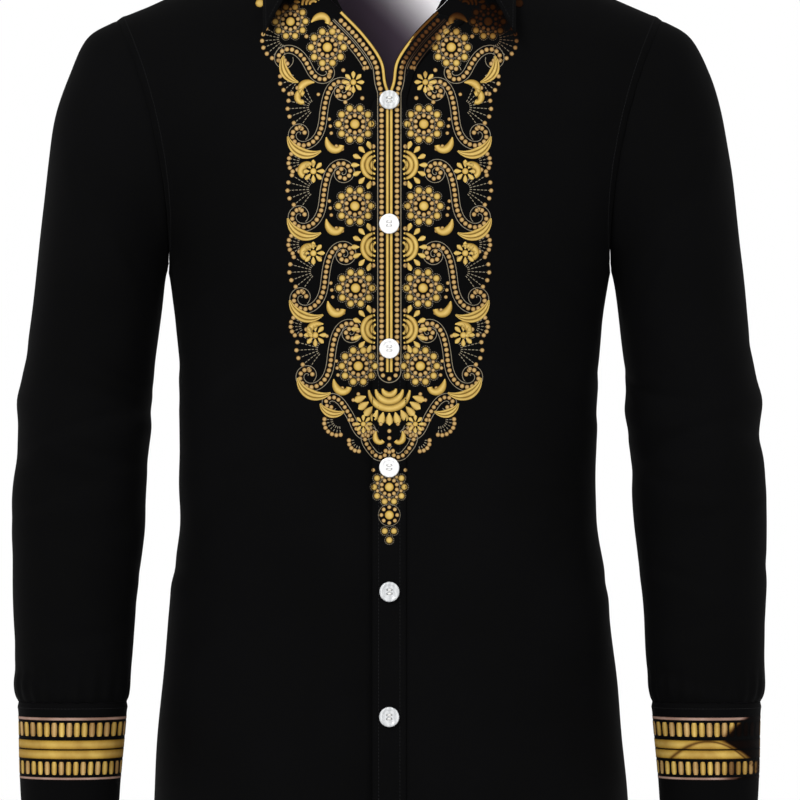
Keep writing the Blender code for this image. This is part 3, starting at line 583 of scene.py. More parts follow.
def inner_edge(step: Any, facing: Facing) -> Array:
    """Points of a panel's inner edge on +X, from the hem's step to the shoulder seam.

    Below the armpits it is the middle line. Then it follows its table of steps, and last the
    neckline.
    """
    step = real(step)
    z, depth = edge_low(step, facing)
    sign = -1 if facing is Facing.FRONT else 1
    start = -LAP if facing is Facing.FRONT else 0.0
    edge = together(np.full_like(z, start), sign * depth, z)
    table = FRONT_EDGE if facing is Facing.FRONT else BACK_EDGE
    middle = (step > 0) & (step <= STAND_END_STEP)
    for axis, (name, way) in enumerate((("out", 1), ("depth", sign), ("z", 1))):
        read = way * smooth_read(column(table, "step"), column(table, name), step)
        edge[:, axis] = np.where(middle, read, edge[:, axis])
    neck = step > STAND_END_STEP
    count = SHOULDER_STEP - STAND_END_STEP
    if facing is Facing.FRONT:
        angles = np.interp(step, STAND_END_STEP + np.arange(count + 1), neck_steps(count))
    else:
        angles = math.pi * (1 - (step - STAND_END_STEP) / count / 2)
    edge[neck] = neckline(angles[neck])
    return edge


def side_edge(step: Any, side: Side, facing: Facing) -> Array:
    """Points of a panel's outer edge on +X: the side seam, then the armhole."""
    step = real(step)
    low = np.clip(step, -LOWER_STEPS, 0) / LOWER_STEPS
    z = ARMPIT_Z + (ARMPIT_Z - HEM_SIDE_Z) * low
    widths = column(TORSO, "left" if side is Side.LEFT else "right")
    edge = together(smooth_read(column(TORSO, "z"), widths, z), np.full_like(z, SIDE_SEAM_Y), z)
    upper = step > 0
    turn = math.pi * np.clip(step, 0, SHOULDER_STEP) / SHOULDER_STEP
    edge[upper] = sleeve_points(np.zeros_like(turn), facing.value * turn)[upper]
    return edge


def panel_points(step: Any, place: Any, side: Side, facing: Facing) -> Array:
    """Points of half a body panel, for rows at each step and columns at each place.

    A row is part of a squared oval about the body's middle, from the panel's inner edge to its outer
    one, cut off where the armhole stands forward of the side seam. Columns up to LAP_COLUMNS are one
    lap apart, and the rest share the row's remaining angle evenly.

    Args:
        step: Rows, from -LOWER_STEPS at the hem to SHOULDER_STEP.
        place: Columns, from 0 at the inner edge to BODY_COLUMNS, for all rows or for each.
        side: The wearer's side.
        facing: Front or back.

    Returns:
        Rows and columns of points.
    """
    step = real(step)[:, None]
    place = np.atleast_2d(real(place))
    inner = inner_edge(step[:, 0], facing)[:, None, :]
    outer = side_edge(step[:, 0], side, facing)[:, None, :]
    share = (outer[..., 1] - SIDE_SEAM_Y) / (inner[..., 1] - SIDE_SEAM_Y - facing.value * LEAST_DEPTH)
    cut_cos = np.clip(share, 0, FLATTEST_ROW)
    last = np.arccos(cut_cos ** (1 / TORSO_SQUARENESS))
    width = outer[..., 0] / np.sin(last) ** TORSO_SQUARENESS

    def turn_at(x: Array) -> Array:
        """The oval's angle where the row is at x."""
        return np.arcsin(squared(x / width, 1 / TORSO_SQUARENESS))

    def deep_at(turn: Array) -> Array:
        """The share of the row's depth at an angle: 1 in the middle, 0 at the outer edge."""
        return (np.cos(turn) ** TORSO_SQUARENESS - cut_cos) / (1 - cut_cos)

    lap_turn = turn_at(inner[..., 0] + np.minimum(place, LAP_COLUMNS) * LAP)
    beyond = np.maximum(place - LAP_COLUMNS, 0) / (BODY_COLUMNS - LAP_COLUMNS)
    turn = lap_turn + (last - lap_turn) * beyond
    x = width * squared(np.sin(turn), TORSO_SQUARENESS)
    middle_y = (inner[..., 1] - outer[..., 1]) / deep_at(turn_at(inner[..., 0]))
    y = outer[..., 1] + middle_y * deep_at(turn)
    curve = np.where(step > 0, YOKE_CURVE, HEM_CURVE)
    climb = np.abs(x / outer[..., 0]) ** curve
    inner_climb = np.abs(inner[..., 0] / outer[..., 0]) ** curve
    middle_z = (inner[..., 2] - outer[..., 2] * inner_climb) / (1 - inner_climb)
    z = middle_z + (outer[..., 2] - middle_z) * climb
    return together(x * side.value, y, z)


def fold_rise(angle: Array, z: Array, folds: tuple[Fold, ...]) -> Array:
    """How far folds push the cloth out.

    Each is its rise times a bell along it and a bell across the leaning, bending line that it
    follows. A pinched fold has a shallower opposite bell just below.

    Args:
        angle: The points' angles in degrees.
        z: Their heights.
        folds: The folds.

    Returns:
        The push at each point, in metres.
    """
    rise = np.zeros_like(z)
    for fold in folds:
        turn = (angle - fold.angle + 180) % 360 - 180
        along = turn / fold.half_angle
        off = (z - fold.z - fold.lean * turn / 90 - fold.bend * along**2) / fold.half_height
        across = bell(off) - fold.pinch * np.exp(-((off + COUNTER_PLACE) ** 2) / COUNTER_SPREAD)
        rise += fold.rise * bell(along) * across
    return rise


def ripple(points: Array, size: float) -> Array:
    """A slow unevenness of cloth: three sine waves that cross at unlike angles and lengths."""
    x, y, z = points[..., 0], points[..., 1], points[..., 2]
    return size * (
        np.sin(61 * x + 37 * z + 23 * y)
        + 0.7 * np.sin(-43 * x + 71 * z + 31 * y + 1.3)
        + 0.5 * np.sin(97 * x - 53 * z + 67 * y + 2.1)
    )


def distance_to(points: Array, line: Array) -> Array:
    """Each point's distance to the nearest point of a line."""
    squares = (points**2).sum(1)[:, None] + (line**2).sum(1)[None, :] - 2 * points @ line.T
    return np.sqrt(np.maximum(squares.min(axis=1), 0))


def photo_of(points: Array) -> Array:
    """Where points show in the photograph, in its pixels."""
    scale = PIXELS / VIEW_WIDTH * -CAMERA_Y / (points[..., 1] - CAMERA_Y)
    across = PIXELS / 2 + (points[..., 0] - CAMERA_X) * scale
    down = PIXELS / 2 - (points[..., 2] - CAMERA_Z) * scale
    return together(across, down)


class Socket:
    """A node's output in a Python expression: each operator adds the Math node it stands for."""

    def __init__(self, paint: Paint, output: bpy.types.NodeSocket) -> None:
        """Wraps an output of one of a paint's nodes."""
        self.paint = paint
        self.output = output

    def maths(self, operation: str, other: Any = None, flip: bool = False) -> Socket:
        """Adds a Math node.

        Args:
            operation: The node's operation.
            other: A number or socket, or None for an operation on one value.
            flip: True puts the other value first.

        Returns:
            The node's output.
        """
        values = [self] if other is None else [other, self] if flip else [self, other]
        return self.paint.add("Math", {"operation": operation}, dict(enumerate(values)))

    def beside(self, name: str) -> Socket:
        """Another output of the same node."""
        return Socket(self.paint, self.output.node.outputs[name])

    def __add__(self, other: Any) -> Socket:
        """The sum."""
        return self.maths("ADD", other)

    __radd__ = __add__

    def __sub__(self, other: Any) -> Socket:
        """This less the other."""
        return self.maths("SUBTRACT", other)

    def __rsub__(self, other: Any) -> Socket:
        """The other less this."""
        return self.maths("SUBTRACT", other, flip=True)

    def __mul__(self, other: Any) -> Socket:
        """The product."""
        return self.maths("MULTIPLY", other)

    __rmul__ = __mul__


class Paint:
    """A material in the making: a Principled BSDF and the nodes that feed it."""

    def __init__(self, name: str, **constants: float) -> None:
        """Starts a material.

        Args:
            name: Its name.
            constants: Values that are the same all over, by the shader's input, with _ for a space.
        """
        self.material = bpy.data.materials.new(name)
        self.material.use_nodes = True
        self.tree = self.material.node_tree
        self.shader = self.tree.nodes["Principled BSDF"]
        for key, value in constants.items():
            self.shader.inputs[key.replace("_", " ")].default_value = value

    def add(self, kind: str, settings: dict = NONE, inputs: dict = NONE, out: Any = 0) -> Socket:
        """Adds any shader node: its settings first, then its sockets.

        Args:
            kind: The node's type after "ShaderNode".
            settings: The node's own properties.
            inputs: Values or sockets, by the input's name or number.
            out: The output wanted, by name or number.

        Returns:
            That output.
        """
        node = self.tree.nodes.new("ShaderNode" + kind)
        for key, value in settings.items():
            setattr(node, key, value)
        for key, value in inputs.items():
            self.put(node.inputs[key], value)
        return Socket(self, node.outputs[out])

    def put(self, socket: bpy.types.NodeSocket, value: Any) -> None:
        """Links a socket or sets its value."""
        if isinstance(value, Socket):
            self.tree.links.new(value.output, socket)
        else:
            socket.default_value = value

    def blend(self, factor: Any, first: Any, second: Any, mode: str = "MIX") -> Socket:
        """Mixes two colours.

        Args:
            factor: The second one's share.
            first: A colour or socket.
            second: A colour or socket.
            mode: How they blend.

        Returns:
            The mixed colour.
        """
        settings = {"data_type": "RGBA", "blend_type": mode}
        return self.add("Mix", settings, {0: factor, 6: first, 7: second}, out=2)

    def here(self) -> Socket:
        """Object coordinates."""
        return self.add("TexCoord", out="Object")

    def noise(self, where: Socket, scale: float, detail: float = 2.0) -> Socket:
        """A noise between about 0.3 and 0.7, read at a place."""
        return self.add("TexNoise", {}, {"Vector": where, "Scale": scale, "Detail": detail})

    def finish(self, colour: Any, roughness: Any = None, height: Any = None, depth: float = 0.0) -> Material:
        """Feeds what varies into the shader.

        Args:
            colour: The base colour.
            roughness: The roughness.
            height: A height for the bump, from 0 to 1.
            depth: How deep the bump is, in metres.

        Returns:
            The finished material.
        """
        self.put(self.shader.inputs["Base Color"], colour)
        if roughness is not None:
            self.put(self.shader.inputs["Roughness"], roughness)
        if height is not None:
            bump = self.add("Bump", {}, {"Strength": 1.0, "Distance": depth, "Height": height})
            self.put(self.shader.inputs["Normal"], bump)
        return self.material


@dataclass(frozen=True)
class ClothFinish:
    """A woven cotton: plain weave, slow unevenness of tone and a little sheen, or painted shade in place of
    most of the unevenness.
    """

    name: str
    colour: Triple
    light: Triple
    roughness: float = 0.82
    specular: float = 0.04
    sheen: float = 0.004
    # Painted shade: whether the colour is painted darker low down, the height where the painted shadow starts
    # to lift, the height over which it lifts, and how much sooner it lifts on the wearer's left.
    fade: bool = False
    painted_shade_from: float = -0.0764
    painted_shade_over: float = 0.0613
    painted_shade_lean: float = 16.0
    pitch: float = 0.00046
    yarn_scale: Triple = (2600.0, 90.0, 1.0)
    depth: float = 0.00008

    def material(self) -> Material:
        """Makes the material.

        The weave is the sum of two sine waves on the cloth's own map, in metres, and a noise stretched
        along the yarns. A cloth with painted shade goes from its colour, a painted shadow, to its light one
        with the square of its height above where the shade starts, and sooner on the wearer's left, where
        more light falls.
        """
        shine = {"Specular_IOR_Level": self.specular, "Sheen_Weight": self.sheen, "Sheen_Roughness": 0.5}
        paint = Paint(self.name, Metallic=0.0, **shine)
        cloth = paint.add("UVMap", {"uv_map": "Cloth"})
        across = paint.add("SeparateXYZ", {}, {0: cloth})
        turns = 2 * math.pi / self.pitch
        weave = (across * turns).maths("SINE") * (across.beside("Y") * turns).maths("SINE")
        slub = paint.noise(paint.add("Mapping", {}, {"Vector": cloth, "Scale": self.yarn_scale}), 1.0)
        where = paint.here()
        cloud = paint.noise(where, 9.0, 4.0)
        shade = (cloud - 0.35) * 1.6 + (slub - 0.5) * 0.7
        # Painted shade: a painted shadow low down gives way to the light colour higher up and on the wearer's
        # left.
        if self.fade:
            left = paint.add("SeparateXYZ", {}, {0: where})
            rise = (left.beside("Z") - self.painted_shade_from) * (1 / self.painted_shade_over) + left * self.painted_shade_lean
            shade = rise.maths("MAXIMUM", 0.0).maths("POWER", 2.0) + (cloud - 0.5) * 0.05
        colour = paint.blend(shade, (*self.colour, 1), (*self.light, 1))
        roughness = (cloud - 0.5) * 0.16 + self.roughness
        return paint.finish(colour, roughness, height=weave * 0.35 + slub, depth=self.depth)


COTTON = ClothFinish("black_cotton", (0.0008, 0.0008, 0.0009), (0.0020, 0.0020, 0.0023))
# The wrong side inside the shirt: a dark purple-grey painted shadow deep inside, giving way to the cloth's
# own near white up by the neck.
WRONG_SIDE = ClothFinish("wrong_side", (0.070, 0.050, 0.072), (0.85, 0.83, 0.85), specular=0.1, fade=True)


@dataclass(frozen=True)
class InkFinish:
    """Printed colour, its painted shadow multiplied in, held in the piece's own colour attribute, on the
    cloth's weave.
    """

    name: str = "gold_print"
    attribute: str = "ink"
    roughness: float = 0.6

    def material(self) -> Material:
        """Makes the material: the attribute's colour, broken a little by noise."""
        paint = Paint(self.name, Metallic=0.0, Specular_IOR_Level=0.03)
        ink = paint.add("Attribute", {"attribute_name": self.attribute})
        where = paint.here()
        fine = paint.noise(where, 900.0)
        grain = paint.noise(where, 160.0, 3.0)
        dull = paint.blend(1.0, ink, (0.72, 0.62, 0.50, 1), mode="MULTIPLY")
        worn = paint.blend((grain - 0.3) * 1.2, ink, dull)
        return paint.finish(worn, (grain - 0.5) * 0.2 + self.roughness, height=fine, depth=0.00006)


@dataclass(frozen=True)
class PearlFinish:
    """Pearl plastic: milky bands that turn slowly from white to grey, under a clear gloss."""

    name: str
    light: Triple
    shade: Triple

    def material(self) -> Material:
        """Makes the material: bands are a distorted wave on Object coordinates."""
        shine = {"Specular_IOR_Level": 0.5, "Coat_Weight": 0.6, "Coat_Roughness": 0.08}
        paint = Paint(self.name, Metallic=0.0, **shine)
        where = paint.here()
        inputs = {"Vector": where, "Scale": 90.0, "Distortion": 6.0, "Detail": 2.0, "Detail Scale": 1.4}
        bands = paint.add("TexWave", {}, inputs)
        colour = paint.blend(bands, (*self.shade, 1), (*self.light, 1))
        return paint.finish(colour, bands * 0.08 + 0.24, height=paint.noise(where, 300.0), depth=0.00002)


@dataclass(frozen=True)
class ThreadFinish:
    """Twisted sewing thread."""

    name: str
    colour: Triple

    def material(self) -> Material:
        """Makes the material: a fine noise shades the twist."""
        paint = Paint(self.name, Metallic=0.0, Specular_IOR_Level=0.15)
        where = paint.here()
        twist = paint.noise(where, 2200.0)
        light = tuple(min(1.0, c * 1.8 + 0.004) for c in self.colour)
        colour = paint.blend(twist, (*self.colour, 1), (*light, 1))
        return paint.finish(colour, twist * 0.2 + 0.55, height=twist, depth=0.00005)


@dataclass(frozen=True)
class FloorFinish:
    """A plain pale floor that fades into the white surround."""

    name: str = "pale_floor"
    fade_start: float = 1.5
    fade_end: float = 3.6

    def material(self) -> Material:
        """Makes the material. Far from the middle, a plain white shows in place of the lit floor."""
        paint = Paint(self.name, Roughness=0.7)
        where = paint.here()
        colour = paint.blend(paint.noise(where, 2.0), (0.86, 0.86, 0.86, 1), (0.92, 0.92, 0.92, 1))
        away = paint.add("VectorMath", {"operation": "LENGTH"}, {0: where}, out="Value")
        reach = {"Value": away, "From Min": self.fade_start, "From Max": self.fade_end}
        faded = paint.add("MapRange", {"interpolation_type": "SMOOTHSTEP"}, reach)
        seen = paint.add("LightPath", out="Is Camera Ray")
        white = paint.add("Emission", {}, {"Color": (1, 1, 1, 1), "Strength": 1.0})
        lit = Socket(paint, paint.shader.outputs["BSDF"])
        surface = paint.add("MixShader", {}, {0: faded * seen, 1: lit, 2: white})
        paint.put(paint.tree.nodes["Material Output"].inputs["Surface"], surface)
        return paint.finish(colour)


@dataclass
class Sheet:
    """A surface: its points, its quads and the place of each point on the flat cloth."""

    name: str
    points: Array
    faces: Array
    flat: Array

    def normals(self) -> Array:
        """The direction out of the cloth at each point, weighted by the area round it."""
        corners = self.points[self.faces]
        cross = np.cross(corners[:, 2] - corners[:, 0], corners[:, 3] - corners[:, 1])
        total = np.zeros_like(self.points)
        for corner in range(4):
            np.add.at(total, self.faces[:, corner], cross)
        return unit(total)

    def with_normals(self) -> Array:
        """Each point followed by its normal."""
        return np.concatenate([self.points, self.normals()], axis=1)

    def mesh(self) -> Mesh:
        """The surface as a mesh with the flat cloth as its map, in metres."""
        mesh = new_mesh(self.name, self.points, self.faces.tolist())
        add_map(mesh, "Cloth", self.flat)
        return mesh


def new_mesh(name: str, points: Array, faces: list) -> Mesh:
    """A smooth mesh of points and faces."""
    mesh = bpy.data.meshes.new(name)
    mesh.from_pydata(points.tolist(), [], faces)
    mesh.shade_smooth()
    return mesh


def add_map(mesh: Mesh, name: str, flat: Array) -> None:
    """Gives a mesh a map that holds each point's place on the flat."""
    corner = np.empty(len(mesh.loops), dtype=np.int32)
    mesh.loops.foreach_get("vertex_index", corner)
    mesh.uv_layers.new(name=name).uv.foreach_set("vector", flat[corner].astype(np.float32).ravel())


def mesh_points(piece: Piece) -> Array:
    """The points of a piece's mesh."""
    found = np.empty(len(piece.data.vertices) * 3)
    piece.data.vertices.foreach_get("co", found)
    return found.reshape(-1, 3)


def grid_faces(rows: int, columns: int, flip: bool = False, closed: bool = False) -> Array:
    """Quads of a grid of points numbered row by row.

    Args:
        rows: Rows of points.
        columns: Columns of points.
        flip: True turns the faces over.
        closed: True joins the last column to the first.

    Returns:
        Four point numbers for each quad.
    """
    numbers = np.arange(rows * columns).reshape(rows, columns)
    if closed:
        numbers = np.concatenate([numbers, numbers[:, :1]], axis=1)
    a, b = numbers[:-1, :-1].ravel(), numbers[:-1, 1:].ravel()
    c, d = numbers[1:, 1:].ravel(), numbers[1:, :-1].ravel()
    return np.stack([a, d, c, b] if flip else [a, b, c, d], axis=1)


def flat_places(grid: Array) -> Array:
    """The flat cloth's map of a grid: the mean distance along each row, and along each column."""
    across = run_along(grid, axis=1).mean(axis=0, keepdims=True)
    along = run_along(grid).mean(axis=1, keepdims=True)
    return np.stack(np.broadcast_arrays(across, along), axis=-1)


def grid_sheet(name: str, grid: Array, flip: bool = False, closed: bool = False) -> Sheet:
    """A sheet from a grid of rows and columns of points."""
    rows, columns = grid.shape[:2]
    faces = grid_faces(rows, columns, flip, closed)
    return Sheet(name, grid.reshape(-1, 3), faces, flat_places(grid).reshape(-1, 2))


def joined(name: str, first: Sheet, second: Sheet) -> Sheet:
    """Two sheets made one where their points meet. The second's map is mirrored beside the first's."""
    points = np.concatenate([first.points, second.points])
    faces = np.concatenate([first.faces, second.faces + len(first.points)])
    flat = np.concatenate([first.flat, second.flat * (-1, 1)])
    _, index, back = np.unique(np.round(points, 6) + 0.0, axis=0, return_index=True, return_inverse=True)
    return Sheet(name, points[index], back.ravel()[faces], flat[index])


def shared_normals(sheets: list[Sheet]) -> list[Array]:
    """Normals that agree wherever sheets meet: the sum over all points at one place, made 1 long."""
    points = np.concatenate([sheet.points for sheet in sheets])
    own = np.concatenate([sheet.normals() for sheet in sheets])
    _, back = np.unique(np.round(points, 5) + 0.0, axis=0, return_inverse=True)
    back = back.ravel()
    total = np.zeros((back.max() + 1, 3))
    np.add.at(total, back, own)
    agreed = unit(total)[back]
    return np.split(agreed, np.cumsum([len(sheet.points) for sheet in sheets])[:-1])


def add_object(name: str, data: bpy.types.ID, materials: Iterable[Material] = ()) -> Piece:
    """Puts a mesh, light or camera in the scene; a mesh with its materials."""
    made = bpy.data.objects.new(name, data)
    bpy.context.scene.collection.objects.link(made)
    for material in materials:
        made.data.materials.append(material)
    return made


def dress(piece: Piece, slot: str, *nodes: str) -> Piece:
    """Makes a piece ride on the shirt and hides the solids it stands for."""
    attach(piece, "root")
    if nodes:
        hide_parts(*nodes)
    log.info("%s: %d faces", piece.name, len(piece.data.polygons))
    return piece


def add_cloth(sheet: Sheet, sides: list[Material]) -> Piece:
    """A sheet as a thin wall, with the first material outside and the second within."""
    cloth = add_object(sheet.name + "_cloth", sheet.mesh(), sides)
    wall = cloth.modifiers.new("wall", "SOLIDIFY")
    wall.thickness = THICKNESS
    wall.offset = -1
    wall.use_even_offset = False
    wall.material_offset = 1
    wall.material_offset_rim = 0
    return cloth


@dataclass
class Body:
    """The fronts, the button band and the back.

    Their sizes are the tables'. Seams are soft grooves, the hem is turned up twice and the band
    is a folded strip, so each stands a little proud of the cloth beside it.
    """

    fine: int = 9
    across: int = 10
    seam_depth: float = 0.0007
    seam_width: float = 0.0022
    ridge: float = 0.0004
    ridge_place: float = 0.0055
    ridge_width: float = 0.0026
    unevenness: float = 0.00035
    hem_width: float = 0.011
    hem_rise: float = 0.0006
    hem_step: float = 0.003
    hem_step_start: float = 0.002
    sewn_depth: float = 0.0004
    sewn_width: float = 0.0008
    band_edge: float = 0.0035
    band_sewn_depth: float = 0.0003
    band_sewn_width: float = 0.0009
    sheets: dict[str, Sheet] = field(default_factory=dict)
    grids: dict[str, Array] = field(default_factory=dict)

    def steps(self) -> Array:
        """The rows' steps from hem to shoulder."""
        count = (LOWER_STEPS + SHOULDER_STEP) * self.fine
        return np.linspace(-LOWER_STEPS, SHOULDER_STEP, count + 1)

    def places(self) -> Array:
        """The columns' places from the middle to the side."""
        return np.linspace(0, BODY_COLUMNS, BODY_COLUMNS * self.across + 1)

    def seams(self) -> dict[str, Array]:
        """Points along the seams: armholes, neck, sides and shoulders."""
        turns = np.linspace(0, 2 * math.pi, SEAM_SAMPLES)
        armhole = sleeve_points(np.zeros_like(turns), turns)
        half = neckline(np.linspace(NECK_FRONT_END, math.pi, SEAM_SAMPLES // 2))
        opening = inner_edge(np.linspace(LAP_END_STEP, STAND_END_STEP, SEAM_SAMPLES // 4), Facing.FRONT)
        steps = np.linspace(-LOWER_STEPS, 0, SEAM_SAMPLES)
        sides = [side_edge(steps, side, Facing.FRONT) * (side.value, 1, 1) for side in Side]
        top = panel_points([SHOULDER_STEP], self.places(), Side.LEFT, Facing.FRONT)[0]
        return {
            "armholes": np.concatenate([armhole, armhole * (-1, 1, 1)]),
            "neck": np.concatenate([half, half * (-1, 1, 1)]),
            "opening": opening,
            "sides": np.concatenate(sides),
            "shoulders": np.concatenate([top, top * (-1, 1, 1)]),
        }

    def push(self, sheet: Sheet, seams: dict[str, Array]) -> Array:
        """How far each point of a panel moves out: folds, creases, seams, hem and unevenness."""
        points = sheet.points
        angle = np.degrees(np.arctan2(points[:, 0], -points[:, 1]))
        kept = np.concatenate([seams["armholes"], seams["neck"], seams["opening"]])
        clear = ease(distance_to(points, kept) / FOLD_CLEAR_OF_SEAM)
        push = fold_rise(angle, points[:, 2], BODY_FOLDS + BODY_CREASES) * clear
        push += ripple(points, self.unevenness) * clear
        for name in ("armholes", "sides", "shoulders"):
            away = distance_to(points, seams[name])
            push -= self.seam_depth * bell(away / self.seam_width)
            push += self.ridge * bell((away - self.ridge_place) / self.ridge_width)
        return push

    def hem_lift(self, grid: Array) -> Array:
        """The turned-up hem: proud for its width above the edge, with a groove where it is sewn."""
        up = run_along(grid)
        lift = self.hem_rise * (1 - ease((up - self.hem_width + self.hem_step_start) / self.hem_step))
        return lift - self.sewn_depth * bell((up - self.hem_width + HEM_STITCH) / self.sewn_width)

    def build(self) -> None:
        """Works out the four sheets. The back is two halves, joined below the neck."""
        steps, places, seams = self.steps(), self.places(), self.seams()
        pieces = []
        for facing in Facing:
            for side in (Side.RIGHT, Side.LEFT):
                name = f"{facing.name}_{side.name}".lower()
                grid = panel_points(steps, places, side, facing)
                pieces.append(grid_sheet(name, grid, flip=side.value == -facing.value))
        grids = {sheet.name: sheet.points.reshape(len(steps), len(places), 3) for sheet in pieces}
        for sheet, normals in zip(pieces, shared_normals(pieces)):
            push = self.push(sheet, seams) + self.hem_lift(grids[sheet.name]).ravel()
            sheet.points = sheet.points + normals * push[:, None]
        middle = np.flatnonzero(steps <= STAND_END_STEP) * len(places)
        pieces[3].points[middle] = pieces[2].points[middle]
        rows, columns = self.band_places(steps)
        grids["placket"] = panel_points(rows, columns, Side.LEFT, Facing.FRONT)
        band = grid_sheet("placket", grids["placket"])
        band.points = band.points + band.normals() * self.push(band, seams)[:, None]
        self.lay_band(band, columns)
        self.sink_underlap(pieces[0])
        for sheet in [*pieces, band]:
            self.grids[sheet.name] = sheet.with_normals().reshape(*grids[sheet.name].shape[:2], 6)
        for sheet in [*pieces[:2], joined("back", *pieces[2:]), band]:
            self.sheets[sheet.name] = sheet

    def band_places(self, steps: Array) -> tuple[Array, Array]:
        """The button band's rows and columns: it narrows along the open neck up to its end."""
        rows = np.append(steps[steps < BAND_TOP_STEP], BAND_TOP_STEP)
        outer = np.where(rows < BAND_STEPS[1], LAP, smooth_read(BAND_STEPS, BAND_OUTER_X, rows))
        inner = inner_edge(rows, Facing.FRONT)[:, 0]
        share = np.linspace(0, 1, LAP_COLUMNS * self.across + 1)
        return rows, ((outer - inner) / LAP)[:, None] * share[None, :]

    def lay_band(self, band: Sheet, places: Array) -> None:
        """Moves the band out over the left front, lower along its two edges, where it is sewn."""
        edge = np.minimum(places, places[:, -1:] - places) * LAP
        lift = PLACKET_EDGE_LIFT + (LAYER - PLACKET_EDGE_LIFT) * ease(edge / self.band_edge)
        lift -= self.band_sewn_depth * bell((edge - BAND_STITCH) / self.band_sewn_width)
        band.points = band.points + band.normals() * lift.reshape(-1, 1)

    def sink_underlap(self, front: Sheet) -> None:
        """Sinks the right front's edge under the left one's, up to the open neck."""
        x, z = front.points[:, 0], front.points[:, 2]
        near = 1 - ease((-x - UNDERLAP_START) / (UNDERLAP_END - UNDERLAP_START))
        bottom, top = FRONT_EDGE[LAP_END_STEP].z, FRONT_EDGE[LAP_END_STEP + 2].z
        closed = 1 - ease((z - bottom) / (top - bottom))
        front.points = front.points - front.normals() * (UNDERLAP_DROP * near * closed)[:, None]


@dataclass
class Sleeve:
    """One sleeve, from its armhole to the cuff's seam."""

    side: Side
    folds: tuple[Fold, ...]
    creases: tuple[Fold, ...]
    rows: int = 160
    columns: int = 120
    seam_depth: float = 0.0007
    seam_width: float = 0.0022
    unevenness: float = 0.0004
    gather: float = 0.0007
    gather_count: int = 23
    gather_place: float = 0.010
    gather_spread: float = 0.014
    reach: float = 0.055
    tuck: float = 0.0040
    tuck_depth: float = 0.0014

    def build(self) -> Sheet:
        """Works out the sheet: the form, then folds, creases, the sewn ends and the underarm seam.

        A last row tucks in under the body, as the seam's allowance does.
        """
        last = len(SLEEVE) - 1
        ring = np.linspace(0, 1, self.rows)[:, None] ** 0.92 * last
        angle = even_turns(self.columns)[None, :]
        grid = sleeve_points(ring, angle) * (self.side.value, 1, 1)
        name = "sleeve_" + self.side.name.lower()
        sheet = grid_sheet(name, grid, flip=self.side is Side.LEFT, closed=True)
        degrees = np.degrees(np.broadcast_to(angle, grid.shape[:2]))
        clear = ease(ring / 2.0) * ease((last - ring) / 1.2)
        push = fold_rise(degrees, grid[..., 2], self.folds + self.creases) * clear
        push += ripple(grid, self.unevenness) * clear
        top = run_along(grid)
        low = top[-1:] - top
        push -= self.seam_depth * bell(top / self.seam_width)
        push -= self.seam_depth * bell(low / self.seam_width)
        pleats = np.sin(angle * self.gather_count + 0.8 * np.sin(3 * angle))
        push += self.gather * (pleats * bell((low - self.gather_place) / self.gather_spread))
        under = np.minimum(angle, 2 * math.pi - angle) * self.reach
        push -= self.seam_depth * bell(under / self.seam_width) * ease(ring / 0.6)
        normals = sheet.normals().reshape(grid.shape)
        grid = (sheet.points + sheet.normals() * push.reshape(-1, 1)).reshape(grid.shape)
        tucked = grid[:1] + unit(grid[:1] - grid[3:4]) * self.tuck - normals[:1] * self.tuck_depth
        return grid_sheet(name, np.concatenate([tucked, grid]), flip=self.side is Side.LEFT, closed=True)


@dataclass
class Cuff:
    """One cuff, wound a little over one turn so that its end lies on its start at the rear."""

    side: Side
    rows: int = 49
    columns: int = 200
    roll: float = 0.0005
    roll_width: float = 0.0016
    seam_depth: float = 0.0007
    seam_width: float = 0.0022
    ridge: float = 0.0003
    ridge_place: float = 0.0045
    ridge_width: float = 0.0025
    sewn_place: float = 0.0055
    sewn_depth: float = 0.0002
    sewn_width: float = 0.0007
    wave: float = 0.0007

    def points(self, turn: Array, down: Array, out: float = 0.0) -> Array:
        """Points of the cuff's outside.

        Args:
            turn: The angle wound from the cuff's start.
            down: The share of the way from the cuff's top to its end.
            out: How far outside the cloth.

        Returns:
            The points.
        """
        top = SLEEVE[-1]
        sizes = [start + (end - start) * down for start, end in zip(top, CUFF_END)]
        lift = CUFF_LIFT * ease((turn - 2 * math.pi + CUFF_RISE_ANGLE) / CUFF_RISE_ANGLE) + out
        drop = (CUFF_TOP_Z - CUFF_END_Z) * down
        seam = -self.seam_depth * bell(drop / self.seam_width)
        seam = seam + self.ridge * bell((drop - self.ridge_place) / self.ridge_width)
        rest = CUFF_TOP_Z - CUFF_END_Z - drop
        hem = -self.roll * bell(rest / self.roll_width)
        hem = hem - self.sewn_depth * bell((rest - self.sewn_place) / self.sewn_width)
        swell = lift + seam + hem + self.wave * np.sin(turn * 3 + 1.1 + down * 2.2) * np.sin(math.pi * down)
        sizes[0] = sizes[0] + swell
        sizes[2] = sizes[2] - swell
        sizes[4] = sizes[4] + swell
        sizes = np.broadcast_arrays(*sizes, turn)[:-1]
        grid = oval(sizes, CUFF_START + turn, ring=ARMHOLE_BOW_RINGS)
        return grid * (self.side.value, 1, 1)

    def build(self) -> Sheet:
        """Works out the sheet."""
        turn = np.linspace(0, 2 * math.pi + CUFF_OVERLAP, self.columns)[None, :]
        down = np.linspace(0, 1, self.rows)[:, None]
        name = "cuff_" + self.side.name.lower()
        return grid_sheet(name, self.points(turn, down), flip=self.side is Side.LEFT)


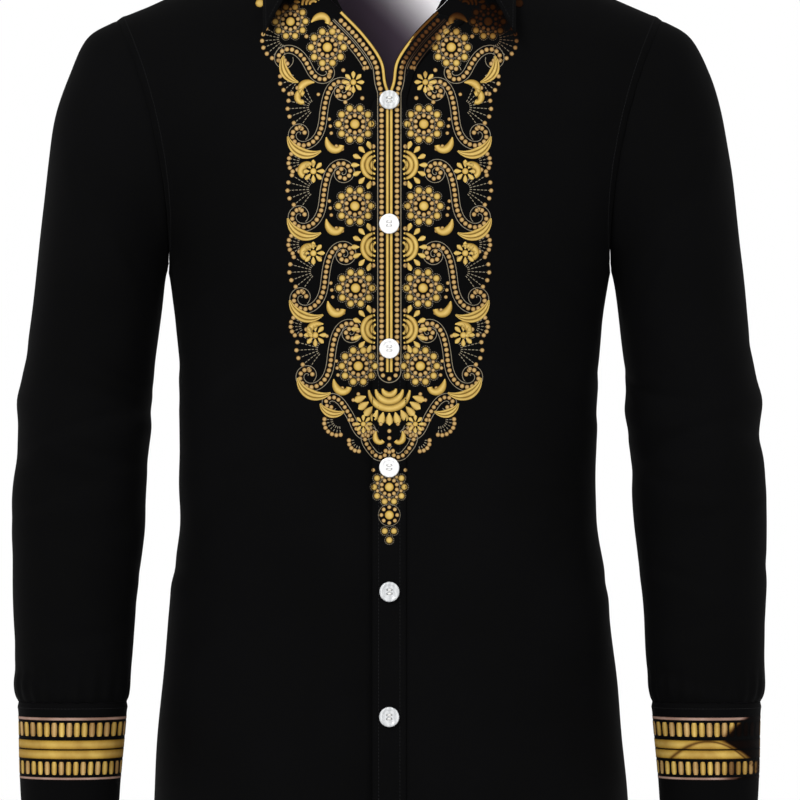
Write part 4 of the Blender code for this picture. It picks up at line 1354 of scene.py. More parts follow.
@dataclass
class Collar:
    """The stand, a band on the neckline, and the fall that rolls over it."""

    around: int = 171
    stand_rows: int = 15
    fall_rows: int = 43
    stand_height: float = 0.034
    seam_depth: float = 0.0006
    seam_width: float = 0.0022
    stand: Sheet | None = None
    fall: Sheet | None = None

    def foot(self) -> tuple[Array, Array, Array]:
        """Points round the neckline from the right end to the left one, their angles and sides."""
        half = np.linspace(NECK_FRONT_END, math.pi, self.around // 2 + 1)
        right = neckline(half) * (-1, 1, 1)
        points = np.concatenate([right, neckline(half)[-2::-1]])
        angles = np.concatenate([half, half[-2::-1]])
        side = np.concatenate([-np.ones(len(half)), np.ones(len(half) - 1)])
        return points, angles, side

    def build(self) -> None:
        """Works out both sheets; the fall is laid on the body later."""
        foot, angles, side = self.foot()
        places, degrees = column(STAND_RISE, "angle"), np.degrees(angles)
        out, back, up = (
            smooth_read(places, column(STAND_RISE, name), degrees) for name in ("outward", "back", "up")
        )
        rise = together(side * out, back, up)
        share = np.linspace(0, 1, self.stand_rows)[:, None, None]
        grid = foot[None] + rise[None] * share
        self.stand = grid_sheet("collar_stand", grid, flip=True)
        round_off = self.stand.normals().reshape(grid.shape)
        seam = bell(share * self.stand_height / self.seam_width) * self.seam_depth
        self.stand.points = (grid - round_off * seam).reshape(-1, 3)

        keep = degrees >= np.degrees(neck_steps(SHOULDER_STEP - STAND_END_STEP)[1]) - 1e-6
        top = grid[-1][keep] - round_off[-1][keep] * THICKNESS
        angles, side = np.degrees(angles[keep]), side[keep]
        stations = column(FALL_EDGE, "angle")
        place = np.interp(angles, (angles.min(), 180), (stations[0], stations[-1]))
        edge = together(*(smooth_read(stations, column(FALL_EDGE, f), place) for f in "xyz"))
        edge[:, 0] *= side
        upward = np.array([0, 0, 1.0])
        outward = unit((edge - top) * (1, 1, 0))
        t = np.linspace(0, 1, self.fall_rows)[:, None, None]
        first = top + upward * FALL_ROLL_UP + outward * FALL_ROLL_OUT * FALL_ROLL_START
        second = top + upward * FALL_ROLL_UP * FALL_ROLL_SETTLE + outward * FALL_ROLL_OUT
        grid = top * (1 - t) ** 3 + 3 * first * t * (1 - t) ** 2 + 3 * second * t * t * (1 - t) + edge * t**3
        self.fall = grid_sheet("collar_fall", grid)

    def lie_down(self, cloth: Piece, under: Piece) -> None:
        """Keeps the fall's outer part outside the body's surface, as Shrinkwrap's outside mode does."""
        group = cloth.vertex_groups.new(name="lies")
        columns = len(self.fall.points) // self.fall_rows
        free = int(self.fall_rows * FALL_FREE_SHARE)
        group.add(list(range(free * columns, len(self.fall.points))), 1.0, "REPLACE")
        wrap = cloth.modifiers.new("lie", "SHRINKWRAP")
        wrap.target = under
        wrap.wrap_method = "NEAREST_SURFACEPOINT"
        wrap.wrap_mode = "OUTSIDE"
        wrap.offset = FALL_CLEARANCE
        wrap.vertex_group = group.name
        settle(cloth)


def settle(piece: Piece) -> None:
    """Applies a piece's modifiers to its mesh."""
    graph = bpy.context.evaluated_depsgraph_get()
    mesh = bpy.data.meshes.new_from_object(piece.evaluated_get(graph))
    piece.modifiers.clear()
    old = piece.data
    piece.data = mesh
    bpy.data.meshes.remove(old)


class Tone(Enum):
    """The kinds of printed colour."""

    GOLD = 0
    BEAD = 1
    LINE = 2
    ROSE = 3


RAMPS = {
    Tone.GOLD: ((0.030, 0.013, 0.002), (0.37, 0.230, 0.040), (0.58, 0.415, 0.13)),
    Tone.BEAD: ((0.040, 0.018, 0.005), (0.31, 0.180, 0.055), (0.50, 0.345, 0.15)),
    Tone.LINE: ((0.19, 0.165, 0.12), (0.19, 0.165, 0.12), (0.19, 0.165, 0.12)),
    Tone.ROSE: ((0.12, 0.07, 0.05), (0.28, 0.18, 0.15), (0.34, 0.23, 0.19)),
}
RAMP_STOPS = (0, 0.6, 1)


class Stamp(NamedTuple):
    """A small flat mark of size 1: its points, how bright each is, and its polygons."""

    places: Array
    glow: Array
    faces: tuple[Array, ...]


class Profile(NamedTuple):
    """What a drawn line is like from side to side: places from -1 to 1, and the glow at each."""

    across: Floats
    glow: Floats


def disc_stamp(sides: int, shares: Floats, glows: Floats) -> Stamp:
    """A disc: its middle point and one ring of points at each share of its radius."""
    turn = even_turns(sides)
    rim = spokes(turn)
    places = np.concatenate([[[0, 0]]] + [rim * share for share in shares])
    glow = np.concatenate([[glows[0]]] + [np.full(sides, g) for g in glows[1:]])
    here = 1 + np.arange(sides)
    after = 1 + (np.arange(sides) + 1) % sides
    faces = [together(np.zeros(sides, int), here, after)]
    for inner in range(0, (len(shares) - 1) * sides, sides):
        outer = inner + sides
        faces.append(together(here + inner, here + outer, after + outer, after + inner))
    return Stamp(places, glow, tuple(faces))


def ring_stamp(sides: int, inner: float, share: float = 1.0) -> Stamp:
    """A thin ring, drawn as dashes where each side's share is below 1."""
    turn = even_turns(sides)
    ends = turn + 2 * math.pi / sides * share
    corners = ((1.0, turn), (1.0, ends), (inner, ends), (inner, turn))
    places = np.concatenate([r * spokes(t) for r, t in corners])
    first = np.arange(sides)
    quads = together(*(first + k * sides for k in range(4)))
    return Stamp(places, np.ones(len(places)), (quads,))


def strip_stamp(half_widths: Floats, profile: Profile) -> Stamp:
    """A straight strip along x from 0 to 1, with its half widths at even places."""
    rows = len(half_widths)
    y = np.array(half_widths)[:, None] * np.array(profile.across)[None, :]
    x = np.broadcast_to(np.linspace(0, 1, rows)[:, None], y.shape)
    glow = np.broadcast_to(real(profile.glow)[None, :], y.shape).ravel()
    return Stamp(together(x, y).reshape(-1, 2), glow, (grid_faces(rows, len(profile.across)),))


ROUNDED = Profile(across=(-1, -0.5, 0, 0.5, 1), glow=(0.2, 0.75, 1.0, 0.75, 0.2))
BANDED = Profile(
    across=(-1, -0.84, -0.66, -0.44, -0.36, -0.18, 0, 0.18, 0.36, 0.44, 0.66, 0.84, 1),
    glow=(0.2, 0.9, 0.85, 0.25, 0.15, 0.85, 1.0, 0.85, 0.15, 0.25, 0.85, 0.9, 0.2),
)
SATIN = Profile(
    across=(-1, -0.86, -0.7, -0.54, -0.38, -0.22, -0.07, 0.07, 0.22, 0.38, 0.54, 0.7, 0.86, 1),
    glow=(0.0, 0.4, 0.58, 0.66, 0.72, 0.77, 0.8, 0.8, 0.77, 0.72, 0.66, 0.58, 0.4, 0.0),
)
PLAIN = Profile(across=(-1, 1), glow=(1, 1))
LEAFY = Profile(across=(-1, -0.45, 0.45, 1), glow=(0.25, 0.95, 0.95, 0.25))

BEAD = disc_stamp(10, (0.55, 1.0), (1.0, 0.82, 0.10))
BOSS = disc_stamp(16, (0.5, 0.8, 1.0), (1.0, 0.92, 0.66, 0.12))
CIRCLE = ring_stamp(28, 0.96)
DASHED_CIRCLE = ring_stamp(14, 0.89, share=0.6)
PETAL = strip_stamp((0.05, 0.16, 0.26, 0.31, 0.27, 0.04), LEAFY)
DASH = strip_stamp((1.0, 1.0), PLAIN)
DASH_LENGTH, DASH_GAP, DASH_HALF, DASH_BEAD = 2.4, 1.3, 0.4, 2.3
PEG = strip_stamp((0.15, 0.20, 0.211, 0.211, 0.211, 0.20, 0.15), ROUNDED)


class Path:
    """A drawn line through points."""

    def __init__(self, points: Any) -> None:
        """Measures how far along the line each point is."""
        self.points = real(points)
        self.run = run_along(self.points)
        self.length = float(self.run[-1])

    def at(self, run: Any) -> Array:
        """Points at distances along the line."""
        return together(*(np.interp(run, self.run, values) for values in self.points.T))

    def heading(self, run: Any, step: float = 0.4) -> Array:
        """The line's direction at distances along it, in radians."""
        gap = self.at(np.asarray(run) + step) - self.at(np.asarray(run) - step)
        return np.arctan2(gap[..., 1], gap[..., 0])

    def sideways(self) -> Array:
        """The direction square to the line at each point."""
        tangent = unit(np.gradient(self.points, axis=0))
        return together(-tangent[:, 1], tangent[:, 0])

    def beside(self, distance: float) -> Path:
        """The line that runs beside this one at a distance."""
        return Path(self.points + self.sideways() * distance)


def sweep(start: Any, heading: float, length: float, bends: Floats, step: float = 1.3) -> Path:
    """A line whose bend changes smoothly: headings sum up the bend, and places sum up the headings.

    Args:
        start: Where it starts.
        heading: Its first direction in degrees: 0 is outwards and 90 is down.
        length: Its length.
        bends: Its bend at even places, in degrees for each pixel of length.
        step: The distance between its points.

    Returns:
        The line.
    """
    count = max(6, int(length / step))
    bend = smooth_read(np.linspace(0, 1, len(bends)), bends, np.linspace(0, 1, count))
    stride = length / (count - 1)
    way = spokes(np.radians(heading + running_sum(bend, stride)))
    return Path(real(start) + running_sum(way, stride))


def scroll(middle: Any, heading: float, ahead: tuple, behind: tuple) -> Path:
    """A line through a middle point, swept from it both ways, each with its length and bends."""
    back = sweep(middle, heading + 180, *behind).points[::-1]
    return Path(np.concatenate([back, sweep(middle, heading, *ahead).points[1:]]))


def arc(centre: Any, radius: float, start: float, end: float) -> Path:
    """Part of a circle, between two angles in degrees."""
    count = max(8, int(abs(math.radians(end - start)) * radius / 1.4))
    return Path(real(centre) + radius * spokes(np.radians(np.linspace(start, end, count))))


class Ink:
    """Flat marks gathered into one drawing: points, glow, tone, lift and polygons."""

    def __init__(self) -> None:
        """Starts with a blank drawing."""
        self.places: list[Array] = []
        self.glow: list[Array] = []
        self.tone: list[Array] = []
        self.faces: list[Array] = []
        self.count = 0

    def lay(self, places: Array, glow: Array, faces: list[Array], tone: Tone) -> None:
        """Adds points and polygons of one tone."""
        self.places.append(places)
        self.glow.append(glow)
        self.tone.append(np.full(len(places), tone.value))
        self.faces += [quads + self.count for quads in faces]
        self.count += len(places)

    def stamp(
        self, stamp: Stamp, at: Any, size: Any = 1.0, turn: Any = 0.0, tone: Tone = Tone.GOLD, thin: float = 1
    ) -> None:
        """Prints one mark at many places: each copy is scaled, turned and moved.

        Args:
            stamp: The mark.
            at: The copies' places.
            size: One size, or one for each copy.
            turn: One angle in radians, or one for each copy.
            tone: The colour.
            thin: How much narrower than the mark each copy is.
        """
        at = np.atleast_2d(real(at))
        size = np.broadcast_to(real(size), len(at))[:, None]
        turn = np.broadcast_to(real(turn), len(at))[:, None]
        x = stamp.places[None, :, 0] * size
        y = stamp.places[None, :, 1] * size * thin
        across = at[:, :1] + x * np.cos(turn) - y * np.sin(turn)
        down = at[:, 1:] + x * np.sin(turn) + y * np.cos(turn)
        first = (np.arange(len(at)) * len(stamp.places))[:, None, None]
        faces = [(part[None] + first).reshape(-1, part.shape[1]) for part in stamp.faces]
        self.lay(together(across, down).reshape(-1, 2), np.tile(stamp.glow, len(at)), faces, tone)

    def stroke(
        self, path: Path, half_widths: Floats, profile: Profile = ROUNDED, tone: Tone = Tone.GOLD
    ) -> None:
        """Draws a line whose half width is read smoothly from the ones given at even places."""
        count = len(path.points)
        if len(half_widths) == 1:
            half_widths = half_widths * 2
        wide = smooth_read(np.linspace(0, 1, len(half_widths)), half_widths, np.linspace(0, 1, count))
        reach = wide[:, None] * np.array(profile.across)[None, :]
        grid = path.points[:, None] + path.sideways()[:, None] * reach[..., None]
        glow = np.broadcast_to(real(profile.glow)[None], reach.shape)
        self.lay(grid.reshape(-1, 2), glow.ravel(), [grid_faces(count, len(profile.across))], tone)

    def beads(self, path: Path, radius: float = 2.4, pitch: float = 5.2, edge: float = 4.0) -> None:
        """A row of beads on a line, between two thin lines unless their distance is 0."""
        run = np.arange(pitch / 2, path.length - radius / 2, pitch)
        self.stamp(BEAD, path.at(run), radius, tone=Tone.BEAD)
        if edge:
            for distance in (edge, -edge):
                self.stroke(path.beside(distance), (0.34,), PLAIN, Tone.LINE)

    def dots(self, size: float, *at: tuple[float, float]) -> None:
        """Loose beads."""
        self.stamp(BEAD, at, size, tone=Tone.BEAD)

    def dashes(self, path: Path) -> None:
        """A dashed line with a bead on its end."""
        run = np.arange(0, path.length - DASH_LENGTH, DASH_LENGTH + DASH_GAP)
        heading = path.heading(run + DASH_HALF)
        self.stamp(DASH, path.at(run), DASH_LENGTH, heading, Tone.LINE, thin=DASH_HALF / DASH_LENGTH)
        self.stamp(BEAD, path.at(path.length)[None], DASH_BEAD, tone=Tone.BEAD)

    def rosette(self, at: Any, scale: float = 1.0, petals: int = 10) -> None:
        """A boss ringed by small beads, a circle, and large beads in dashed circles."""
        at = real(at)
        turn = even_turns(petals)
        between = spokes(turn + math.pi / petals)
        self.stamp(BOSS, at, 4.9 * scale)
        self.stamp(BEAD, at + between * 8.6 * scale, 2.3 * scale, tone=Tone.BEAD)
        self.stamp(CIRCLE, at, 11.3 * scale, tone=Tone.LINE)
        self.stamp(BEAD, at + between * 13.4 * scale, 1.9 * scale, tone=Tone.BEAD)
        self.stamp(BEAD, at + spokes(turn) * 16.4 * scale, 3.6 * scale)
        self.stamp(DASHED_CIRCLE, at + spokes(turn) * 16.4 * scale, 4.9 * scale, turn, Tone.LINE)

    def half_sun(self, at: Any, facing: float, scale: float, spread: float = 84, petals: int = 7) -> None:
        """Three bands round a point with petals beyond them, on the side that it faces."""
        at = real(at)
        for radius, half in ((5.2, 2.2), (10.4, 2.6), (15.8, 2.6)):
            widths = (1.0, half * scale, half * scale, half * scale, 1.0)
            self.stroke(arc(at, radius * scale, facing - spread, facing + spread), widths)
        turn = np.radians(np.linspace(facing - spread + 14, facing + spread - 14, petals))
        self.stamp(PETAL, at + spokes(turn) * 19.2 * scale, 9.6 * scale, turn)

    def daisy(self, at: Any, scale: float = 1.0, petals: int = 8) -> None:
        """A boss with petals round it."""
        turn = even_turns(petals)
        self.stamp(BOSS, at, 3.3 * scale)
        self.stamp(PETAL, np.asarray(at) + spokes(turn) * 3.9 * scale, 7.6 * scale, turn)

    def crescent(self, centre: Any, radius: float, start: float, end: float, half: float) -> None:
        """A banded crescent on part of a circle."""
        self.stroke(arc(centre, radius, start, end), (0.8, half * 0.72, half, half * 0.72, 0.8), BANDED)

    def comma(self, at: Any, heading: float, length: float, way: int, half: float) -> None:
        """A solid curl, thin where it starts."""
        bends = tuple(bend * way * 26 / length for bend in (1.2, 4.5, 8.5, 13.0))
        self.stroke(sweep(at, heading, length, bends), (0.6, half * 0.75, half, half * 0.8, half * 0.7))

    def spray(self, at: Any, heading: float, spread: float, count: int, length: float) -> None:
        """Dashed lines that fan out from near a point, each with a bead on its end."""
        for share in np.linspace(-0.5, 0.5, count):
            turn = heading + spread * share
            start = real(at) + 6.5 * spokes(np.radians(turn))
            self.dashes(sweep(start, turn, (length - 3.5) * (1 - 0.5 * share * share), (2.2 * share, -share)))

    def gathered(self) -> tuple[Array, Array, Array]:
        """All points, their glow and their tone."""
        return np.concatenate(self.places), np.concatenate(self.glow), np.concatenate(self.tone)

    def colours(self) -> Array:
        """The colour of each point, read from its tone's ramp by its glow."""
        _, glow, tone = self.gathered()
        found = np.zeros((len(glow), 3))
        for kind, ramp in RAMPS.items():
            pick = tone == kind.value
            read = [np.interp(glow[pick], RAMP_STOPS, channel) for channel in zip(*ramp)]
            found[pick] = together(*read)
        return found

    def polygons(self, rising: bool) -> list[Array]:
        """The triangles and the quads, all turned one way: rising ones run from across to down."""
        places = self.gathered()[0]
        found = []
        for corners in (3, 4):
            none = np.zeros((0, corners), int)
            part = np.concatenate([none] + [faces for faces in self.faces if faces.shape[1] == corners])
            first, second = places[part[:, 2]] - places[part[:, 0]], places[part[:, -1]] - places[part[:, 1]]
            area = first[:, 0] * second[:, 1] - first[:, 1] * second[:, 0]
            right = (area > 0) == rising
            found.append(np.where(right[:, None], part, part[:, ::-1]))
        return found


@dataclass
class Ornament:
    """The front's printed border, drawn in the photograph's pixels.

    A place is the distance out from the middle line and the distance down. The side's marks are
    drawn twice, mirrored. Four repeats run down each side of the band, under a crown.
    """

    middle_x: float = 389.3
    bar_end: float = 372.0
    piping: float = 1.9
    piping_half: float = 1.45
    bead_row: float = 7.7
    row_line: float = 11.6
    line_half: float = 0.4
    second_row: float = 17.0
    second_length: float = 70.0
    repeats: tuple[tuple[float, float], ...] = ((124, 1.0), (206, 1.0), (288, 0.97), (366, 0.86))
    side: Ink = field(default_factory=Ink)
    middle: Ink = field(default_factory=Ink)

    def build(self) -> None:
        """Draws everything."""
        self.draw_edge()
        for number, (row, reach) in enumerate(self.repeats):
            self.draw_repeat(row, reach, last=number == len(self.repeats) - 1)
        self.draw_crown()
        self.draw_point()

    def draw_edge(self) -> None:
        """The piping that edges the open neck and runs down the band, with its rows of beads."""
        steps = np.linspace(LAP_END_STEP + 0.1, STAND_END_STEP - 0.03, 60)
        neck = photo_of(inner_edge(steps, Facing.FRONT)) - (self.middle_x, 0)
        rows = np.linspace(self.bar_end, neck[0, 1] + 4, 120)
        low = together(np.zeros_like(rows), rows)
        edge = Path(np.concatenate([low, neck]))
        even = edge.at(np.linspace(0, edge.length, 300))
        for _ in range(10):
            even[1:-1] = (even[:-2] + 2 * even[1:-1] + even[2:]) / 4
        edge = Path(even)
        self.side.stroke(edge.beside(self.piping), (self.piping_half,))
        self.side.beads(edge.beside(self.bead_row), radius=2.5, pitch=5.4, edge=0)
        self.side.stroke(edge.beside(self.row_line), (self.line_half,), PLAIN, Tone.LINE)
        top = edge.at(np.linspace(edge.length - self.second_length, edge.length, 60))
        self.side.beads(Path(top).beside(self.second_row), radius=2.2, pitch=5.2, edge=3.7)
        end = arc((0, self.bar_end - 1), self.row_line, 0, 180)
        self.middle.stroke(end, (self.line_half,), PLAIN, Tone.LINE)
        turn = np.radians(np.array((35, 90, 145)))
        self.middle.stamp(BEAD, (0, self.bar_end - 1) + spokes(turn) * self.bead_row, 2.3, tone=Tone.BEAD)

    def draw_repeat(self, row: float, reach: float, last: bool) -> None:
        """One repeat: a rosette by the band, a scroll round it, and curls and sprays outside."""
        ink = self.side

        def at(out: float, down: float) -> Array:
            """A place within the repeat."""
            return np.array((10 + (out - 10) * reach, row + down))

        ink.rosette(at(34.5, 0))
        if not last:
            ink.half_sun(at(13.0, 41), 0, 0.88)
            ink.dots(2.4, at(16, 22.5), at(16, 59.5))
            ink.daisy(at(76, 47))
            ink.spray(at(84, 38), -6, 80, 6, 14)
        ahead = (80, (-0.2, -2.2, -4.4, -7.5, -13))
        behind = (84, (-0.2, -1.2, -5.6, -8.6, -14))
        ink.beads(scroll(at(66, -8), 84, ahead, behind))
        ink.crescent(at(80, 8), 22.0, 10, 122, 5.4)
        ink.comma(at(63, 13), 96, 26, 1, 4.0)
        ink.comma(at(75, -42), -8, 24, 1, 3.8)
        ink.dots(1.9, at(58, 9), at(59, 2), at(60, -5), at(71, -30), at(53, 22), at(47, 25))
        ink.spray(at(74, -17), -6, 108, 8, 25)

    def draw_crown(self) -> None:
        """The top, beside the open neck and under the collar's leaves."""
        ink = self.side
        ink.rosette((62, 47))
        ink.rosette((99, 21), 0.92)
        ink.beads(scroll((80, 68), -64, (64, (0.4, 2.0, 5.0, 8.5, 14)), (44, (1.0, 4.0, 7.0, 11.0, 15))))
        ink.crescent((87, 62), 20, -20, 78, 4.8)
        ink.comma((78, 22), -130, 24, -1, 3.8)
        ink.comma((87, 88), 40, 20, 1, 3.4)
        ink.half_sun((76, 4), -70, 0.7, 74, 5)
        ink.daisy((36, 82), 0.95)
        ink.spray((104, 38), 30, 110, 8, 21)
        ink.spray((90, 78), 14, 80, 5, 17)
        ink.stamp(BOSS, (130, 2), 4.4)
        ink.dots(2.2, (83, 36), (46, 70), (25, 68), (27, 98), (44, 102), (60, 74), (52, 96))

    def draw_point(self) -> None:
        """The point below the band's print, and the drops that hang from it."""
        ink = self.side
        slim = {"radius": 2.2, "pitch": 4.9, "edge": 3.8}
        tail = scroll((44, 408), 122, (60, (0.2, -0.8, 2.0, 8.0, 13.0, 16)), (38, (0.5, 3.0, 8.0, 12.0, 16)))
        ink.beads(tail, **slim)
        ink.beads(scroll((17, 452), 128, (22, (2.0, 9.0, 17.0)), (32, (0.5, -3.0, -9.0, -15.0))), **slim)
        ink.crescent((54, 398), 16, 20, 124, 4.4)
        ink.daisy((26, 424), 0.8)
        ink.comma((13, 431), 70, 18, 1, 3.0)
        ink.spray((50, 420), 46, 96, 7, 13)
        ink.spray((29, 440), 42, 80, 5, 9)
        ink.dots(2.0, (8.5, 424), (6, 462), (40, 420), (16, 470), (36, 400), (31, 394))
        ink.stamp(BEAD, (4.6, 531), 3.3)
        ink.stamp(DASHED_CIRCLE, (4.6, 531), 4.6, 0, Tone.LINE)
        ink = self.middle
        ink.half_sun((0, 388), 90, 1.3, 84, 11)
        ink.dots(2.2, (0, 431), (0, 438), (0, 445), (0, 452))
        ink.rosette((0, 487), 0.92)
        turn = even_turns(8)
        ink.stamp(BOSS, (0, 515), 4.6)
        ink.stamp(BEAD, (0, 515) + 7.9 * spokes(turn), 2.1, tone=Tone.BEAD)
        ink.stamp(CIRCLE, (0, 515), 11.2, tone=Tone.LINE)
        ink.stamp(BEAD, (0, 540), 3.5)
        ink.stamp(DASHED_CIRCLE, (0, 540), 4.8, 0, Tone.LINE)

    def shade(self, across: Array, down: Array) -> Array:
        """How much light each printed point keeps.

        The upper corners darken towards the leaves. On the wearer's left the cloth beside the
        open neck lies in a deep shadow, but for the piping on its edge.
        """
        corner = 0.12 + 0.88 * ease((down + (across - 262) * 0.55 - 12) / 30)
        deep = 0.04 + 0.96 * ease((down + (517 - across) * 0.3 - 30) / 34)
        edge = np.interp(down, NECK_ROWS, NECK_EDGE)
        beside = ease((across - edge - 24) / 14)
        by_neck = np.maximum(beside, 0.14 + 0.86 * ease((down - 50) / 40))
        shaded = np.where(across - edge < 6.0, 1.0, np.minimum(deep, by_neck))
        corner = np.where(across < 264, 1.0, corner)
        return np.where(across < self.middle_x, corner, np.where(down < 92, shaded, 1.0))

    def lay(self, name: str, ink: Ink, sides: int, cloth: Piece, paint: Material) -> Piece:
        """Lays a drawing on the cloth, straight back from the front, darkened by its painted shadow.

        Args:
            name: The piece's name.
            ink: The drawing.
            sides: -1 mirrors it.
            cloth: What it is laid on. Marks that would miss it are left out.
            paint: Its finish.

        Returns:
            The piece.
        """
        places, _, tone = ink.gathered()
        across, down = self.middle_x + sides * places[:, 0], places[:, 1]
        points = laid_on(front_places(across, down), cloth)
        on_cloth = points[:, 1] > BEFORE_CLOTH / 2
        parts = [part[on_cloth[part].all(axis=1)] for part in ink.polygons(rising=sides < 0)]
        points[:, 1] -= INK_LEVELS[tone]
        # Painted shadow: the print darkens and turns redder where the collar's leaves and the open neck shade
        # it.
        keep = self.shade(across, down)
        shadow_tint = together(keep, keep**1.25, keep**1.4)
        return print_piece(name, points, parts, ink.colours() * shadow_tint, points[:, [0, 2]], paint)


def front_places(across: Array, down: Array) -> Array:
    """Points in front of the cloth that show at places in the photograph once laid on it.

    The cloth's depth is read at the height, which itself is worked out from the depth, three
    times over.
    """
    z_low, depth_low = column(TORSO, "z"), column(TORSO, "front")
    z_high, depth_high = column(FRONT_EDGE, "z"), column(FRONT_EDGE, "depth")
    heights = np.concatenate([z_low[:-1], z_high])
    depths = np.concatenate([depth_low[:-1], depth_high])
    z = np.full(len(down), CAMERA_Z)
    for _ in range(3):
        size = VIEW_WIDTH / PIXELS * (-CAMERA_Y - np.interp(z, heights, depths)) / -CAMERA_Y
        z = CAMERA_Z - (down - PIXELS / 2) * size
    x = CAMERA_X + (across - PIXELS / 2) * size
    return together(x, np.full_like(x, BEFORE_CLOTH), z)


def laid_on(points: Array, cloth: Piece) -> Array:
    """Points carried straight back onto a piece, a little above its surface, as Shrinkwrap does."""
    drawing = add_object("drawing", new_mesh("drawing", points, []))
    wrap = drawing.modifiers.new("lay", "SHRINKWRAP")
    wrap.target = cloth
    wrap.wrap_method = "PROJECT"
    wrap.wrap_mode = "ABOVE_SURFACE"
    wrap.use_project_y = True
    wrap.offset = INK_LIFT
    settle(drawing)
    laid = mesh_points(drawing)
    bpy.data.objects.remove(drawing)
    return laid


def print_piece(
    name: str, points: Array, parts: list[Array], colours: Array, flat: Array, paint: Material
) -> Piece:
    """A printed drawing as a piece, with its colours and a map of the flat drawing.

    Args:
        name: Its name.
        points: Its points. Those that no polygon uses are dropped.
        parts: Its triangles and its quads.
        colours: Each point's colour, its painted shadow included.
        flat: Each point's place on the flat drawing.
        paint: Its finish.

    Returns:
        The piece.
    """
    used = np.unique(np.concatenate([part.ravel() for part in parts]))
    polygons = [corners for part in parts for corners in np.searchsorted(used, part).tolist()]
    mesh = new_mesh(name, points[used], polygons)
    # The ink attribute holds the print's colour times its painted shadow.
    opaque = np.concatenate([colours[used], np.ones((len(used), 1))], axis=1).astype(np.float32)
    mesh.attributes.new("ink", "FLOAT_COLOR", "POINT").data.foreach_set("color", opaque.ravel())
    low, high = flat[used].min(axis=0), flat[used].max(axis=0)
    add_map(mesh, "OFBake", 0.01 + 0.98 * (flat[used] - low) / (high - low))
    return add_object(name, mesh, [paint])


@dataclass
class CuffStripes:
    """The stripes printed round a cuff: thin lines, rows of pegs and two gold bands.

    They are drawn on the flat cuff, as the distance round it and the photograph's row, and then
    wound with it.
    """

    cuff: Cuff
    scale: float = 0.0008
    distance: float = 5.93
    pitch: float = 7.37
    side_share: float = 0.5

    def build(self, paint: Material) -> Piece:
        """Draws and winds the stripes."""
        ink = Ink()
        turn = np.linspace(0.02, 2 * math.pi + CUFF_OVERLAP - 0.02, 400)
        rings = self.cuff.points(turn[None, :], np.array([[0.4]]))[0]
        run = run_along(rings * (1, self.side_share, 1)) / self.scale
        for row, half, profile, tone in (
            (719.5, 1.4, ROUNDED, Tone.ROSE),
            (745.3, 4.5, SATIN, Tone.GOLD),
            (755.2, 4.5, SATIN, Tone.GOLD),
            (779.2, 1.1, ROUNDED, Tone.ROSE),
        ):
            line = Path(together(np.linspace(0, run[-1], 420), np.full(420, row)))
            ink.stroke(line, (half,), profile, tone)
        places = np.arange(self.pitch / 2, run[-1] - self.pitch / 2, self.pitch)
        for number, (first, length) in enumerate(((723.4, 13.8), (762.4, 13.0))):
            row = together(places, np.full_like(places, first))
            odd = (np.arange(len(places)) * 7 + number * 3) % 5 < 2
            for pick, tone in ((odd, Tone.BEAD), (~odd, Tone.GOLD)):
                ink.stamp(PEG, row[pick], length, math.pi / 2, tone)
        flat, _, tone = ink.gathered()
        wound = np.interp(flat[:, 0], run, turn)
        z = CAMERA_Z - (flat[:, 1] - PIXELS / 2) * self.scale * self.distance / -CAMERA_Y
        down = (CUFF_TOP_Z - z) / (CUFF_TOP_Z - CUFF_END_Z)
        points = self.cuff.points(wound, down, INK_LIFT + INK_LEVELS[tone])
        name = "print_cuff_" + self.cuff.side.name.lower()
        parts = ink.polygons(rising=self.cuff.side is Side.RIGHT)
        # Painted shade on the stripes: soft fold shading, and the left cuff's deep shadow.
        keep = self.shade(points, flat[:, 1])
        shadow_tint = together(keep, keep**1.2, keep**1.3)
        return print_piece(name, points, parts, ink.colours() * shadow_tint, flat, paint)

    def shade(self, points: Array, row: Array) -> Array:
        """How much light each printed point keeps: soft folds, and a deep one on the left cuff."""
        across = photo_of(points)[:, 0]
        front = ease((-points[:, 1] - 0.022) / 0.012)
        waves = 0.92 + 0.10 * np.sin(across * 0.13 + row * 0.06) + 0.06 * np.sin(across * 0.31 - row * 0.17)
        if self.cuff.side is Side.RIGHT:
            return waves - 0.22 * front * ease((across - 92 - (row - 740) * 0.5) / 14)
        arch = row - 742 - 0.0125 * (across - 708) ** 2
        width = 1.1 + 1.1 * ease((706 - across) / 22)
        line = 0.8 * bell(arch / width) * ease((across - 664) / 8)
        waves = waves * (1 - 0.7 * front * bell((across - 733) / 8) * ease((row - 758) / 4))
        dark = ease((across - np.interp(row, SHADOW_ROWS, SHADOW_EDGE)) / 9)
        return waves * (1 - line * front) * (1 - 0.995 * dark * front)


def inset(grid: Array, distance: float) -> Array:
    """The line at one distance from a grid's first column, measured along each row.

    Each place lies between the last point nearer than the distance and the next one.

    Args:
        grid: Rows and columns of points, each followed by its normal.
        distance: The distance.

    Returns:
        One point and normal for each row.
    """
    gaps = np.linalg.norm(np.diff(grid[..., :3], axis=1), axis=2)
    run = run_along(grid[..., :3], axis=1)
    before = np.clip((run < distance).sum(axis=1) - 1, 0, grid.shape[1] - 2)
    rows = np.arange(len(grid))
    share = ((distance - run[rows, before]) / gaps[rows, before])[:, None]
    return grid[rows, before] * (1 - share) + grid[rows, before + 1] * share


